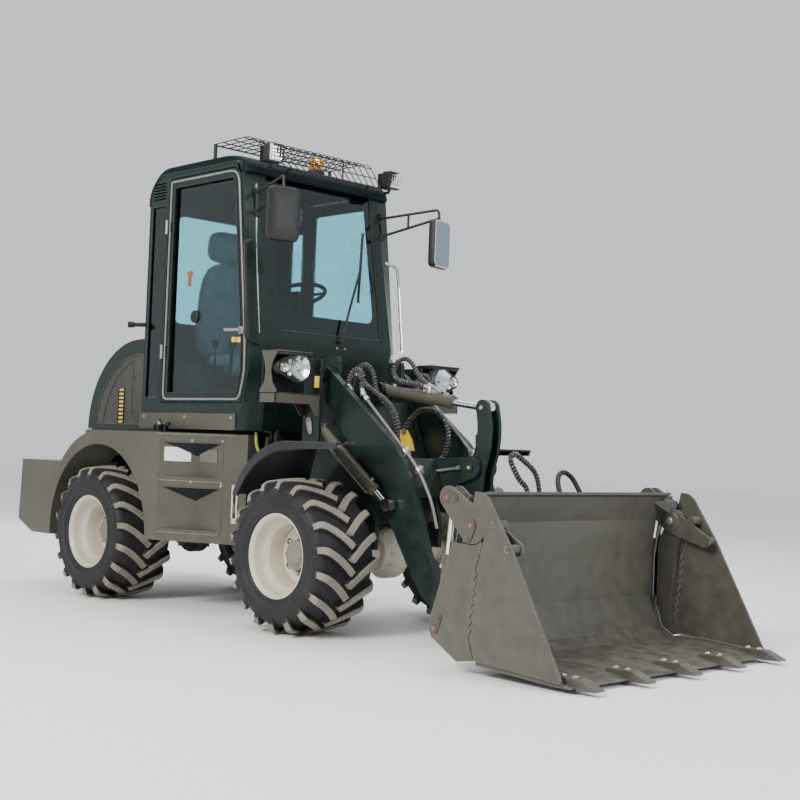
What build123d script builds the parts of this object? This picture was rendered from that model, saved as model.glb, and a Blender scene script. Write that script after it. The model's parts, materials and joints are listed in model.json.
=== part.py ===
"""Compact articulated wheel loader with a cab and a four-in-one bucket.

Millimetres. +X runs forward, +Y to the machine's left, +Z up from the ground. Shapes are drawn
from the rear axle, and export_node shifts each one so that the origin is the middle of the
machine's footprint, on the ground.
"""

import math
import os

from build123d import *

# ---------------------------------------------------------------- whole machine
WHEELBASE = 1733
HALF_TRACK = 592
AXLE_Z = 390
TAIL_X = -905
TEETH_X = 3686
STEER_X = 867
ORIGIN_X = (TEETH_X + TAIL_X) / 2

RUN = 0.3  # radial gap of a pin in a turning hole
PLAY = 6  # gap between plates that move past each other

# ---------------------------------------------------------------- wheels and axles
TYRE_RADIUS = 390
TYRE_HALF_WIDTH = 195
TREAD_RADIUS = 358
# y and radius of the carcass
TYRE_SECTIONS = [(-190, 305), (-110, TREAD_RADIUS), (110, TREAD_RADIUS), (190, 305)]
LUG_COUNT = 18
LUG_WIDTH = 30
LUG_TOP = 382
BEAD_RADIUS = 196
FLANGE_RADIUS = 210
DROP_RADIUS = 160
RIM_HALF_WIDTH = 172
RIM_WALL = 8
DISC_Y = 572
DISC_WALL = 14
HUB_RADIUS = 78
HUB_END_Y = 650
SPINDLE_RADIUS = 40
AXLE_TUBE_RADIUS = 58
AXLE_DOME_RADIUS = 140
AXLE_FLANGE_RADIUS = 88
AXLE_END_Y = 560

# ---------------------------------------------------------------- rear chassis and steering joint
RAIL_IN_Y = 190
RAIL_OUT_Y = 215
RAIL_LOW_Z = 480
RAIL_TOP_Z = 760
RAIL_TAIL_X = -620
RAIL_NOSE_X = 700
CHASSIS_WALL = 25
FORK_WALL = 30
FORK_Z = (485, 735)
TONGUE_Z = (520, 700)
STEER_PIN_RADIUS = 30
JOINT_RADIUS = 70
STEER_CYLINDER_Z = 440
STEER_BASE = (520, 200)
STEER_EYE = (1130, 150)

# ---------------------------------------------------------------- counterweight and side boxes
WEIGHT_TOP_Z = 790
WEIGHT_LOW_Z = 337
WEIGHT_FRONT_X = -645
BODY_HALF_WIDTH = 720
ARCH_RADIUS = 515
ARCH_IN_Y = 365
BOX_TOP_Z = 988
BOX_LOW_Z = 385
BOX_BEND_X = 610
BOX_NOSE = (1112, 478)
BOX_IN_Y = 300
STEP_SPAN = (32, 400)
STEP_DEPTH = 66
STEP_ROOF_DROP = 76
# top edge and tread of each step
STEPS = [(938, 742), (689, 452)]

# ---------------------------------------------------------------- hood
HOOD_HALF_WIDTH = 430
HOOD_FRONT_X = 125
HOOD_REAR_X = -600
HOOD_LOW_Z = 1000
HOOD_TOP_Z = 1560
HOOD_WALL = 14
HOOD_HINGE = (112, 1578)

# ---------------------------------------------------------------- cab
CAB_REAR_X = 170
CAB_HALF_WIDTH = 545
CAB_WALL = 45
CAB_FLOOR_Z = 1010
CAB_TOP_Z = 2498
ROOF_TOP_Z = 2540
DOOR_WALL = 40
DOOR_FRAME = 50
GLASS_WALL = 6
DOOR_HINGE = (363, 553)
# height, front end of the flat side, front face, half width of the front face
CAB_SECTIONS = [
    (CAB_FLOOR_Z, 1085, 1170, 430),
    (1330, 1174, 1212, 452),
    (1515, 1168, 1228, 468),
    (CAB_TOP_Z, 1048, 1058, 452),
]

# ---------------------------------------------------------------- boom and linkage
BOOM_PIVOT = (1505, 1312)
BUCKET_HINGE = (2600, 215)
CRANK_PIVOT = (2380, 863)
CRANK_TOP = (2420, 1163)
CRANK_FOOT = (2364, 403)
LINK_PIN = (2701, 376)
TILT_BASE = (1673, 1256)
LIFT_BASE = (1503, 1071)
LIFT_EYE = (2070, 661)
ARM_IN_Y = 262
ARM_OUT_Y = 300
LIFT_Y = 335
TOWER_IN_Y = 225
TOWER_OUT_Y = 250
POST_IN_Y = 368
POST_OUT_Y = 383

# ---------------------------------------------------------------- bucket
JAW_PIVOT = (3045, 631)
JAW_EAR = (2901, 745)
JAW_CYLINDER_BASE = (2848, 175)
JAW_CYLINDER_Y = 740
JAW_OPEN = 45
BUCKET_HALF_WIDTH = 782
SIDE_WALL = 12
EAR_RADIUS = 48
HUB_PLATE_RADIUS = 78


# ---------------------------------------------------------------- drawing helpers
def outline(*points):
    """Flat face inside a closed outline."""
    return make_face(Polyline(*points, close=True))


def strap(start, start_radius, end, end_radius):
    """Flat face round two circles and the straight tangents between them."""
    ends = Pos(*start) * Circle(start_radius) + Pos(*end) * Circle(end_radius)
    return make_hull(ends.edges())


def plate(face, low_y, high_y):
    """Solid of an X-Z face between two Y planes."""
    plane = Plane((0, high_y, 0), x_dir=(1, 0, 0), z_dir=(0, -1, 0))
    return extrude(plane * face, amount=high_y - low_y)


def slab(face, low_z, high_z):
    """Solid of an X-Y face between two heights."""
    return extrude(Pos(0, 0, low_z) * face, amount=high_z - low_z)


def block(low_x, high_x, low_y, high_y, low_z, high_z):
    size = Box(high_x - low_x, high_y - low_y, high_z - low_z)
    return Pos((low_x + high_x) / 2, (low_y + high_y) / 2, (low_z + high_z) / 2) * size


def cross_pin(centre, radius, low_y, high_y):
    """Round bar along Y through an X-Z point."""
    bar = Rot(90, 0, 0) * Cylinder(radius, high_y - low_y)
    return Pos(centre[0], (low_y + high_y) / 2, centre[1]) * bar


def bar(start, end, radius):
    """Round bar between two points in space."""
    run = Vector(*end) - Vector(*start)
    return extrude(Plane(origin=start, z_dir=run) * Circle(radius), amount=run.length)


def bent_bar(points, radius, bend):
    """Round bar along straight runs joined by arcs."""
    path = FilletPolyline(*points, radius=bend)
    return sweep(Plane(origin=path @ 0, z_dir=path % 0) * Circle(radius), path=path)


def hose(points, radius):
    """Bent hose whose arcs are as large as their two runs allow."""
    radii = []
    for before, corner, after in zip(points, points[1:], points[2:]):
        arriving = Vector(*corner) - Vector(*before)
        leaving = Vector(*after) - Vector(*corner)
        half_turn = math.radians(arriving.get_angle(leaving)) / 2
        radii.append(0.45 * min(arriving.length, leaving.length) / math.tan(half_turn))
    path = FilletPolyline(*points, radius=radii)
    return sweep(Plane(origin=path @ 0, z_dir=path % 0) * Circle(radius), path=path)


def spin(*points):
    """Solid of radius-and-Y points turned about the Y axis."""
    return revolve(outline(*points), Axis.Y)


def left_of(shape):
    return mirror(shape, Plane.XZ)


def twin(shape):
    """The shape, drawn at +Y, and its mirror image."""
    return [shape, left_of(shape)]


def flatten(shapes):
    return [one for shape in shapes for one in (shape if isinstance(shape, list) else [shape])]


def fused(*shapes):
    whole, *rest = flatten(shapes)
    for shape in rest:
        whole = whole + shape
    return whole


def cut(whole, *tools):
    for tool in flatten(tools):
        whole = whole - tool
    return whole


def point_along(start, end, distance):
    """X-Z point on the line from one point to another."""
    share = distance / math.dist(start, end)
    return (start[0] + (end[0] - start[0]) * share, start[1] + (end[1] - start[1]) * share)


def turned(point, centre, degrees):
    """X-Z point turned about a centre, lifting what lies ahead of it."""
    angle = math.radians(degrees)
    x = point[0] - centre[0]
    z = point[1] - centre[1]
    cosine = math.cos(angle)
    sine = math.sin(angle)
    return (centre[0] + x * cosine - z * sine, centre[1] + x * sine + z * cosine)


def export_node(name, *shapes):
    solids = [solid for shape in flatten(shapes) for solid in shape.solids()]
    moved = [Pos(-ORIGIN_X, 0, 0) * solid for solid in solids]
    body = moved[0] if len(moved) == 1 else Compound(children=moved)
    export_step(body, f"parts/{name}.step")


# ---------------------------------------------------------------- wheels
def lug():
    """Slanting tread bar at the top of the left tyre, its inner end leading."""
    inner = (0, -12)
    outer = (-128, TYRE_HALF_WIDTH - 4)
    run = Vector(outer[0] - inner[0], outer[1] - inner[1], 0)
    half = run.length / 2
    middle = (0, (inner[1] + outer[1]) / 2, 0)
    low = TREAD_RADIUS - 26
    side = outline((-half, low), (-half, LUG_TOP), (half - 34, LUG_TOP), (half + 5, 345), (half - 14, 306))
    plane = Plane(middle, x_dir=run, z_dir=(run.Y, -run.X, 0))
    return extrude(plane * side, amount=LUG_WIDTH / 2, both=True)


def tyre():
    """Left tyre about the wheel centre: flat-sided carcass with one facet to each pair of lugs."""
    sides = [Plane((0, y, 0), x_dir=(1, 0, 0), z_dir=(0, 1, 0)) * RegularPolygon(radius, LUG_COUNT)
             for y, radius in TYRE_SECTIONS]
    bore = (FLANGE_RADIUS + RUN) / math.cos(math.pi / LUG_COUNT)
    plane = Plane((0, -200, 0), x_dir=(1, 0, 0), z_dir=(0, 1, 0))
    carcass = loft(sides, ruled=True) - extrude(plane * RegularPolygon(bore, LUG_COUNT), amount=400)
    pitch = 360 / LUG_COUNT
    lugs = []
    for step in range(LUG_COUNT):
        lugs.append(Rot(0, pitch * step, 0) * lug())
        lugs.append(Rot(0, pitch * (step + 0.5), 0) * left_of(lug()))
    return carcass.fuse(*lugs)


def rim():
    """Deep-dish rim of the left side, with its hub, about the wheel centre."""
    half = RIM_HALF_WIDTH
    outside = [
        (FLANGE_RADIUS, -half),
        (BEAD_RADIUS, 12 - half),
        (BEAD_RADIUS, 62 - half),
        (DROP_RADIUS, 92 - half),
        (DROP_RADIUS, half - 112),
        (BEAD_RADIUS, half - 72),
        (BEAD_RADIUS, half - 12),
        (FLANGE_RADIUS, half),
    ]
    inside = [(radius - RIM_WALL, y) for radius, y in reversed(outside)]
    barrel = spin(*outside, *inside)
    disc_y = DISC_Y - HALF_TRACK
    hub_y = HUB_END_Y - HALF_TRACK
    bore = SPINDLE_RADIUS + RUN
    bore_y = AXLE_END_Y + 62 - HALF_TRACK
    disc = spin(
        (bore, disc_y),
        (DROP_RADIUS - 1, disc_y),
        (DROP_RADIUS - 1, disc_y + DISC_WALL),
        (HUB_RADIUS + 12, disc_y + DISC_WALL),
        (HUB_RADIUS, disc_y + DISC_WALL + 12),
        (HUB_RADIUS, hub_y - 14),
        (HUB_RADIUS - 14, hub_y),
        (0, hub_y),
        (0, bore_y),
        (bore, bore_y),
    )
    return barrel + disc


def wheels():
    for name, shape in (("tyre", tyre()), ("rim", rim())):
        for end, x in (("rear", 0), ("front", WHEELBASE)):
            placed = Pos(x, HALF_TRACK, AXLE_Z) * shape
            export_node(f"{name}_{end}_left", placed)
            export_node(f"{name}_{end}_right", left_of(placed))


def axle(x):
    dome = spin((0, -100), (95, -100), (AXLE_DOME_RADIUS, -35), (AXLE_DOME_RADIUS, 35), (95, 100), (0, 100))
    half = spin(
        (0, 0),
        (AXLE_TUBE_RADIUS, 0),
        (AXLE_TUBE_RADIUS, 440),
        (AXLE_FLANGE_RADIUS, 460),
        (AXLE_FLANGE_RADIUS, AXLE_END_Y),
        (SPINDLE_RADIUS, AXLE_END_Y),
        (SPINDLE_RADIUS, AXLE_END_Y + 55),
        (0, AXLE_END_Y + 55),
    )
    return Pos(x, 0, AXLE_Z) * fused(dome, twin(half))


# ---------------------------------------------------------------- rear frame
def joint_plate(root_x, low_z, reach):
    """Tapered plate from a frame's end to the steering pin, with a round nose."""
    taper = outline((root_x, -150), (STEER_X, -JOINT_RADIUS), (STEER_X, JOINT_RADIUS), (root_x, 150))
    face = taper + Pos(STEER_X, 0) * Circle(JOINT_RADIUS)
    return slab(face, low_z, low_z + reach)


def rear_chassis():
    rail = block(RAIL_TAIL_X, RAIL_NOSE_X, RAIL_IN_Y, RAIL_OUT_Y, RAIL_LOW_Z, RAIL_TOP_Z)
    saddle = block(-65, 65, RAIL_IN_Y, RAIL_OUT_Y, AXLE_Z + 20, RAIL_LOW_Z)
    saddle = saddle - cross_pin((0, AXLE_Z), AXLE_TUBE_RADIUS, RAIL_IN_Y, RAIL_OUT_Y)
    posts = [block(x - 30, x + 30, RAIL_IN_Y, 260, RAIL_TOP_Z - 60, CAB_FLOOR_Z) for x in (215, 640)]
    brackets = [block(x - 25, x + 25, RAIL_OUT_Y, BOX_IN_Y, 600, 680) for x in (540, 640)]
    steer_pad = block(STEER_BASE[0] - 35, STEER_BASE[0] + 35, RAIL_IN_Y - 20, RAIL_OUT_Y, 470, RAIL_LOW_Z)
    walls = [
        block(x, x + CHASSIS_WALL, -RAIL_OUT_Y, RAIL_OUT_Y, RAIL_LOW_Z, RAIL_TOP_Z + rise)
        for x, rise in ((RAIL_TAIL_X - CHASSIS_WALL, 0), (230, 0), (RAIL_NOSE_X - CHASSIS_WALL, 10))
    ]
    forks = [joint_plate(RAIL_NOSE_X - CHASSIS_WALL, low_z, FORK_WALL) for low_z in FORK_Z]
    pin = Pos(STEER_X, 0, 625) * Cylinder(STEER_PIN_RADIUS, 310)
    steer_pin = Pos(*STEER_BASE, 450) * Cylinder(12, 60)
    return fused(twin(rail), walls, twin(saddle), *[twin(p) for p in posts + brackets], steer_pad, forks, pin, steer_pin)


def engine():
    core = block(-560, -60, -170, 170, 520, 960)
    cover = block(-520, -120, -130, 130, 960, 1080)
    feet = [twin(block(x, x + 60, 170, RAIL_IN_Y, 590, 640)) for x in (-480, -200)]
    return fused(core, cover, *feet)


def arch_cutter(low_y, high_y):
    return cross_pin((0, AXLE_Z), ARCH_RADIUS, low_y, high_y)


def counterweight():
    side = [
        (-885, WEIGHT_TOP_Z),
        (TAIL_X, 410),
        (-730, WEIGHT_LOW_Z),
        (-440, WEIGHT_LOW_Z),
        (-300, WEIGHT_TOP_Z),
    ]
    body = plate(outline(*side), -BODY_HALF_WIDTH, BODY_HALF_WIDTH)
    middle = block(WEIGHT_FRONT_X, 0, -ARCH_IN_Y, ARCH_IN_Y, WEIGHT_LOW_Z - 1, WEIGHT_TOP_Z + 1)
    wells = twin(arch_cutter(ARCH_IN_Y - 1, BODY_HALF_WIDTH + 1))
    slot = block(TAIL_X - 1, -800, -60, 60, 430, 530)
    recess = block(-880, -820, -40, 40, 556, WEIGHT_TOP_Z + 1)
    pin_hole = Pos(-850, 0, 478) * Cylinder(17, 156)
    return cut(body, middle, wells, slot, recess, pin_hole)


def engine_skirt():
    """Fixed walls of the engine bay, below the hood."""
    low = 830
    side = block(HOOD_REAR_X, HOOD_FRONT_X, HOOD_HALF_WIDTH - 6, HOOD_HALF_WIDTH, low, HOOD_LOW_Z - PLAY)
    back = block(HOOD_REAR_X, HOOD_REAR_X + 6, -HOOD_HALF_WIDTH, HOOD_HALF_WIDTH, WEIGHT_TOP_Z, HOOD_LOW_Z - PLAY)
    tie = block(HOOD_REAR_X, HOOD_REAR_X + 30, -HOOD_HALF_WIDTH, HOOD_HALF_WIDTH, WEIGHT_TOP_Z, WEIGHT_TOP_Z + 6)
    tie = tie + twin(block(HOOD_REAR_X, HOOD_REAR_X + 30, RAIL_IN_Y, RAIL_OUT_Y, RAIL_TOP_Z, WEIGHT_TOP_Z + 6))
    front = block(100, 106, -HOOD_HALF_WIDTH, HOOD_HALF_WIDTH, RAIL_TOP_Z + 30, HOOD_LOW_Z - PLAY)
    foot = block(80, 106, -RAIL_OUT_Y, RAIL_OUT_Y, RAIL_TOP_Z, RAIL_TOP_Z + 36)
    return fused(twin(side), back, tie, front, foot)


def side_box():
    """Left box: fender over the rear wheel, then a tank that bends in towards its nose."""
    plan = [
        (150, BOX_IN_Y),
        (150, HOOD_HALF_WIDTH),
        (-150, HOOD_HALF_WIDTH),
        (-150, BODY_HALF_WIDTH),
        (BOX_BEND_X, BODY_HALF_WIDTH),
        BOX_NOSE,
        (BOX_NOSE[0] - 22, 400),
        (900, 400),
        (860, BOX_IN_Y),
    ]
    body = slab(outline(*plan), BOX_LOW_Z, BOX_TOP_Z)
    lid = [(-148, BODY_HALF_WIDTH), (BOX_BEND_X, BODY_HALF_WIDTH), BOX_NOSE, (1100, 440), (600, 640), (-148, 640)]
    rim_edge = slab(outline(*lid), BOX_TOP_Z - 2, BOX_TOP_Z)
    for top_z, foot_z in STEPS:
        body = body - step_pocket(top_z, foot_z)
    body = body - arch_cutter(BOX_IN_Y - 1, BODY_HALF_WIDTH + 1) - block(-420, 0, 200, 800, 380, 800)
    return body + rim_edge


def step_pocket(top_z, foot_z):
    """Toe room above a step: a vertical V fold under a sloping roof."""
    side = Vector(BOX_NOSE[0] - BOX_BEND_X, BOX_NOSE[1] - BODY_HALF_WIDTH, 0).normalized()
    start = Vector(BOX_BEND_X, BODY_HALF_WIDTH, 0)
    rear = start + side * STEP_SPAN[0]
    front = start + side * STEP_SPAN[1]
    inward = Vector(side.Y, -side.X, 0)
    deep = (rear + front) * 0.5 + inward * STEP_DEPTH
    out = inward * -5
    fold = outline(*[(v.X, v.Y) for v in (rear + out, rear, deep, front, front + out)])
    roof_low = top_z - STEP_ROOF_DROP
    roof = outline((-6, foot_z), (-6, top_z), (0, top_z), (STEP_DEPTH, roof_low), (STEP_DEPTH + 5, foot_z))
    plane = Plane(rear, x_dir=inward, z_dir=inward.cross(Vector(0, 0, 1)))
    return slab(fold, foot_z, top_z) & extrude(plane * roof, amount=STEP_SPAN[1] - STEP_SPAN[0], both=True)


def rear_fender():
    """Left mudguard behind the box, from the box's end down to the counterweight."""
    edges = [
        Line((-420, 700), (-420, 788)),
        ThreePointArc((-420, 788), (-270, 916), (-150, 966)),
        Line((-150, 966), (-150, 700)),
        Line((-150, 700), (-420, 700)),
    ]
    body = plate(make_face(edges), HOOD_HALF_WIDTH, BODY_HALF_WIDTH) - arch_cutter(HOOD_HALF_WIDTH - 1, BODY_HALF_WIDTH + 1)
    return body - block(-430, -100, 400, 730, 600, WEIGHT_TOP_Z)


def hood_face(inset):
    front = HOOD_FRONT_X
    rear = HOOD_REAR_X + inset
    top = HOOD_TOP_Z - inset
    low = HOOD_LOW_Z
    edges = [
        Line((front, low), (front, top)),
        Line((front, top), (-60, top - 8)),
        ThreePointArc((-60, top - 8), (-455 + inset * 0.7, 1372 - inset * 0.7), (rear, low)),
        Line((rear, low), (front, low)),
    ]
    return make_face(edges)


def hood():
    body = plate(hood_face(0), -HOOD_HALF_WIDTH, HOOD_HALF_WIDTH)
    width = HOOD_HALF_WIDTH - HOOD_WALL
    inside = plate(hood_face(HOOD_WALL), -width, width)
    sides = twin(plate(hood_panel_face(), width - 1, HOOD_HALF_WIDTH + 1))
    grille = block(HOOD_REAR_X - 40, -480, -300, 300, 1060, 1300)
    knuckle = block(100, 124, 198, 252, HOOD_TOP_Z - 3, HOOD_HINGE[1]) + cross_pin(HOOD_HINGE, 14, 198, 252)
    knuckle = knuckle - cross_pin(HOOD_HINGE, 7 + RUN, 190, 260)
    return fused(cut(body, inside, sides, grille), twin(knuckle))


def hood_panel_face():
    """Side opening, parallel to the hood's curved back."""
    low = HOOD_LOW_Z + 30
    edges = [
        Line((60, low), (60, 1470)),
        Line((60, 1470), (-60, 1462)),
        ThreePointArc((-60, 1462), (-385, 1315), (-520, low)),
        Line((-520, low), (60, low)),
    ]
    return make_face(edges)


def hood_side_panel():
    panel = plate(hood_panel_face(), HOOD_HALF_WIDTH - HOOD_WALL, HOOD_HALF_WIDTH - 4)
    slots = [block(-250, -214, HOOD_HALF_WIDTH - 30, HOOD_HALF_WIDTH, z, z + 14) for z in range(1048, 1250, 28)]
    return cut(panel, slots)


def hood_grille():
    body = plate(hood_face(4), -300, 300) - plate(hood_face(HOOD_WALL), -301, 301)
    body = body & block(HOOD_REAR_X - 40, -480, -300, 300, 1060, 1300)
    slots = [block(HOOD_REAR_X - 50, -400, -270, 270, z, z + 12) for z in range(1080, 1286, 26)]
    return cut(body, slots)


# ---------------------------------------------------------------- cab
def cab_solid(inset):
    faces = []
    for z, side_x, front_x, front_y in CAB_SECTIONS:
        half = CAB_HALF_WIDTH - inset
        corner = [(CAB_REAR_X + inset, half), (side_x - inset, half), (front_x - inset, front_y - inset)]
        level = z + inset if z == CAB_FLOOR_Z else z
        points = corner + [(x, -y) for x, y in reversed(corner)]
        faces.append(Pos(0, 0, level) * outline(*points))
    return loft(faces, ruled=True)


def front_x(z):
    """X of the cab's front face at a height."""
    for (low_z, _, low_x, _), (high_z, _, high_x, _) in zip(CAB_SECTIONS, CAB_SECTIONS[1:]):
        if low_z <= z <= high_z:
            return low_x + (high_x - low_x) * (z - low_z) / (high_z - low_z)
    raise ValueError(z)


def door_face():
    top = (1042, 2395)
    edges = [
        Polyline((385, 2462), (371, 2448), (371, 1165), (1116, 1165), (1156, 1330), (1150, 1500), top),
        ThreePointArc(top, (1016, 2440), (965, 2462)),
        Line((965, 2462), (385, 2462)),
    ]
    return make_face(edges)


def door_window_face():
    return offset(door_face(), amount=-DOOR_FRAME, kind=Kind.INTERSECTION)


def quarter_face():
    return outline((195, 1185), (340, 1185), (340, 2320), (195, 2320))


REAR_WINDOW = (380, 1620, 2330)
WINDSHIELD = (400, 1565, 2440)


def cab_shell():
    shell = cab_solid(0) - cab_solid(CAB_WALL)
    slope = make_face([
        Polyline((305, CAB_TOP_Z), (305, 2600), (100, 2600), (100, 2330), (CAB_REAR_X, 2330)),
        ThreePointArc((CAB_REAR_X, 2330), (203, 2442), (305, CAB_TOP_Z)),
    ])
    vents = [block(205, 330, 480, 560, z, z + 8) for z in range(2356, 2450, 18)]
    door_hole = plate(offset(door_face(), amount=PLAY, kind=Kind.INTERSECTION), 480, 560)
    quarter = plate(quarter_face(), 480, 560)
    half, low_z, high_z = WINDSHIELD
    front = block(950, 1300, -half, half, low_z, high_z)
    half, low_z, high_z = REAR_WINDOW
    rear = block(100, 300, -half, half, low_z, high_z)
    shell = cut(shell, plate(slope, -600, 600), twin(door_hole), twin(quarter), front, rear, *[twin(v) for v in vents])
    arm = block(100, CAB_REAR_X, 180, 192, HOOD_HINGE[1] - 12, HOOD_HINGE[1] + 12)
    return fused(shell, twin(arm), twin(cross_pin(HOOD_HINGE, 7, 180, 256)))


def cab_roof():
    front = [(890, ROOF_TOP_Z), (1050, 2519), (1142, 2444), (1134, 2430), (1062, CAB_TOP_Z), (305, CAB_TOP_Z)]
    edges = [
        ThreePointArc((305, CAB_TOP_Z), (203, 2442), (CAB_REAR_X, 2330)),
        Line((CAB_REAR_X, 2330), (CAB_REAR_X - 8, 2330)),
        ThreePointArc((CAB_REAR_X - 8, 2330), (200, 2462), (345, ROOF_TOP_Z)),
        Polyline((345, ROOF_TOP_Z), *front),
    ]
    return plate(make_face(edges), -CAB_HALF_WIDTH, CAB_HALF_WIDTH)


def cab_windows():
    half, low_z, high_z = WINDSHIELD
    low_x = front_x(low_z)
    high_x = front_x(high_z)
    pane = outline((low_x - 16, low_z), (low_x - 10, low_z), (high_x - 10, high_z), (high_x - 16, high_z))
    windshield = plate(pane, -half, half)
    half, low_z, high_z = REAR_WINDOW
    rear = block(CAB_REAR_X + 10, CAB_REAR_X + 10 + GLASS_WALL, -half, half, low_z, high_z)
    quarter = plate(quarter_face(), CAB_HALF_WIDTH - 16, CAB_HALF_WIDTH - 16 + GLASS_WALL)
    return [windshield, rear] + twin(quarter)


def door():
    frame = plate(door_face() - door_window_face(), CAB_HALF_WIDTH - DOOR_WALL, CAB_HALF_WIDTH)
    for z in (1420, 2150):
        leaf = block(DOOR_HINGE[0], 400, CAB_HALF_WIDTH, CAB_HALF_WIDTH + 4, z, z + 70)
        knuckle = Pos(*DOOR_HINGE, z + 35) * Cylinder(8, 70)
        frame = fused(frame, leaf, knuckle)
    return frame


def door_glass():
    middle = CAB_HALF_WIDTH - DOOR_WALL / 2
    return plate(door_window_face(), middle - GLASS_WALL / 2, middle + GLASS_WALL / 2)


def seat():
    floor = CAB_FLOOR_Z + CAB_WALL
    base = block(330, 640, -200, 200, floor, floor + 260)
    cushion = block(290, 740, -240, 240, floor + 260, floor + 390)
    back = plate(outline((270, 1430), (370, 1430), (300, 1960), (230, 1960)), -230, 230)
    rest = plate(outline((215, 1990), (285, 1990), (265, 2170), (195, 2170)), -130, 130)
    stems = twin(bar((262, 60, 1940), (250, 60, 2010), 8))
    return fused(base, cushion, back, rest, stems)


def steering_wheel():
    floor = CAB_FLOOR_Z + CAB_WALL
    foot = block(900, 1040, -110, 110, floor, floor + 60)
    column = bar((1000, 0, floor + 40), (900, 0, 1690), 38)
    wheel = Pos(885, 0, 1740) * Rot(0, -18, 0) * (Torus(180, 13) + Cylinder(45, 30) + Box(350, 30, 12) + Box(30, 350, 12))
    neck = bar((900, 0, 1680), (886, 0, 1740), 22)
    return fused(foot, column, neck, wheel)


def sill_plate():
    return block(120 + 50, 1085, CAB_HALF_WIDTH, CAB_HALF_WIDTH + 10, CAB_FLOOR_Z, 1100)


def handrail():
    points = [(1095, 470, 2060), (1142, 580, 2030), (1200, 590, 1500), (1190, 470, 1475)]
    return bent_bar(points, 11, 30) - cab_solid(0)


def roof_rack():
    foot = ROOF_TOP_Z
    side = twin(bent_bar([(640, 445, foot), (640, 445, 2650), (1000, 450, 2655), (1165, 385, 2478)], 11, 30))
    low = bar((1165, -388, 2478), (1165, 388, 2478), 11)
    cross = [bar((x, -450, 2655), (x, 450, 2655), 10) for x in (660, 820, 990)]
    slats = [bar((1000, y, 2650), (1163, y, 2478), 4) for y in range(-368, 369, 46)]
    slats += [bar((645, y, 2655), (1000, y, 2655), 4) for y in range(-414, 415, 46)]
    ties = twin(bar((1165, 300, 2478), (1105, 300, 2440), 9))
    return cut(fused(side, low, cross, slats, ties), cab_roof(), cab_solid(0))


def beacon():
    return Pos(925, 90, ROOF_TOP_Z + 48) * (Cylinder(42, 96) + Pos(0, 0, -38) * Cylinder(50, 20))


def work_light():
    case = fillet(Box(50, 104, 104).edges().filter_by(Axis.X), 14)
    lamp = Pos(1196, 449, 2531) * Rot(0, 4, 6) * case
    stem = bar((1190, 449, 2500), (1176, 449, 2462), 9)
    strap_bar = bar((1180, 449, 2464), (1118, 449, 2458), 9)
    return cut(fused(lamp, stem, strap_bar), cab_roof(), cab_solid(0))


def mirror_set():
    case = fillet(Box(44, 186, 288).edges().filter_by(Axis.X), 34)
    glass = Pos(1473, 592, 2146) * Rot(0, 0, 14) * case
    high = bent_bar([(1060, 470, 2316), (1100, 478, 2318), (1462, 590, 2352), (1470, 592, 2270)], 8, 26)
    low = bent_bar([(1080, 474, 2214), (1110, 480, 2212), (1466, 590, 2300)], 8, 14)
    tie = bar((1270, 531, 2250), (1270, 531, 2334), 7)
    post = bar((1104, 479, 2195), (1104, 479, 2335), 9)
    return fused(glass, high, low, tie, post) - cab_solid(0)


def wiper():
    pivot = bar((1215, 60, 1540), (1245, 60, 1540), 14)
    arm = bar((1240, 60, 1540), (1176, 250, 1990), 7)
    blade = bar((1200, 215, 1780), (1126, 300, 2200), 8)
    return fused(pivot, arm, blade) - cab_solid(0)


# ---------------------------------------------------------------- front frame
def front_chassis():
    tongues = [mirror(joint_plate(2 * STEER_X - 990, low_z, FORK_WALL), Plane((STEER_X, 0, 0), z_dir=(1, 0, 0))) for low_z in TONGUE_Z]
    bore = Pos(STEER_X, 0, 625) * Cylinder(STEER_PIN_RADIUS + RUN, 300)
    neck = block(965, 1420, -145, 145, 505, 755) - block(990, 1400, -120, 120, 530, 730)
    side = outline(
        (1372, 420),
        (1372, 770),
        (1450, 1000),
        (1450, 1400),
        (1470, 1425),
        (1560, 1425),
        (1570, 1400),
        (1570, 1260),
        (1640, 1210),
        (1850, 700),
        (1900, 560),
        (1900, 420),
    )
    towers = twin(plate(side, TOWER_IN_Y, TOWER_OUT_Y))
    low = block(1397, 1860, -TOWER_IN_Y, TOWER_IN_Y, 545, 570)
    back = block(1372, 1397, -TOWER_IN_Y, TOWER_IN_Y, 450, 770)
    top = block(1455, 1545, -TOWER_IN_Y, TOWER_IN_Y, 1180, 1205)
    web = plate(outline((1600, 1180), (1622, 1196), (1888, 560), (1866, 560)), -TOWER_IN_Y, TOWER_IN_Y)
    ear = strap(TILT_BASE, 42, (1540, 1185), 60)
    ears = twin(plate(ear, 36, 56))
    tilt_pin = cross_pin(TILT_BASE, 15, -62, 62)
    post = twin(block(1450, 1580, POST_IN_Y, POST_OUT_Y, 925, 1400))
    shelf = twin(block(1450, 1580, TOWER_OUT_Y, POST_OUT_Y, 925, 943))
    boom_pin = twin(cross_pin(BOOM_PIVOT, 25, TOWER_IN_Y, POST_OUT_Y))
    lift_pin = twin(cross_pin(LIFT_BASE, 16, LIFT_Y - 25, POST_OUT_Y + 4))
    steer_pad = block(STEER_EYE[0] - 40, STEER_EYE[0] + 40, 110, 190, 466, 510)
    pads = twin(block(WHEELBASE - 70, WHEELBASE + 70, TOWER_IN_Y - 20, TOWER_OUT_Y + 20, AXLE_Z + 20, 450))
    saddle = cut(fused(pads), cross_pin((WHEELBASE, AXLE_Z), AXLE_TUBE_RADIUS, -300, 300))
    body = cut(fused(tongues, neck), bore)
    plates = cut(fused(towers), cross_pin((WHEELBASE, AXLE_Z), AXLE_TUBE_RADIUS, -300, 300))
    return fused(body, plates, low, back, top, web, ears, tilt_pin, post, shelf, boom_pin, lift_pin, steer_pad, saddle)


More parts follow.
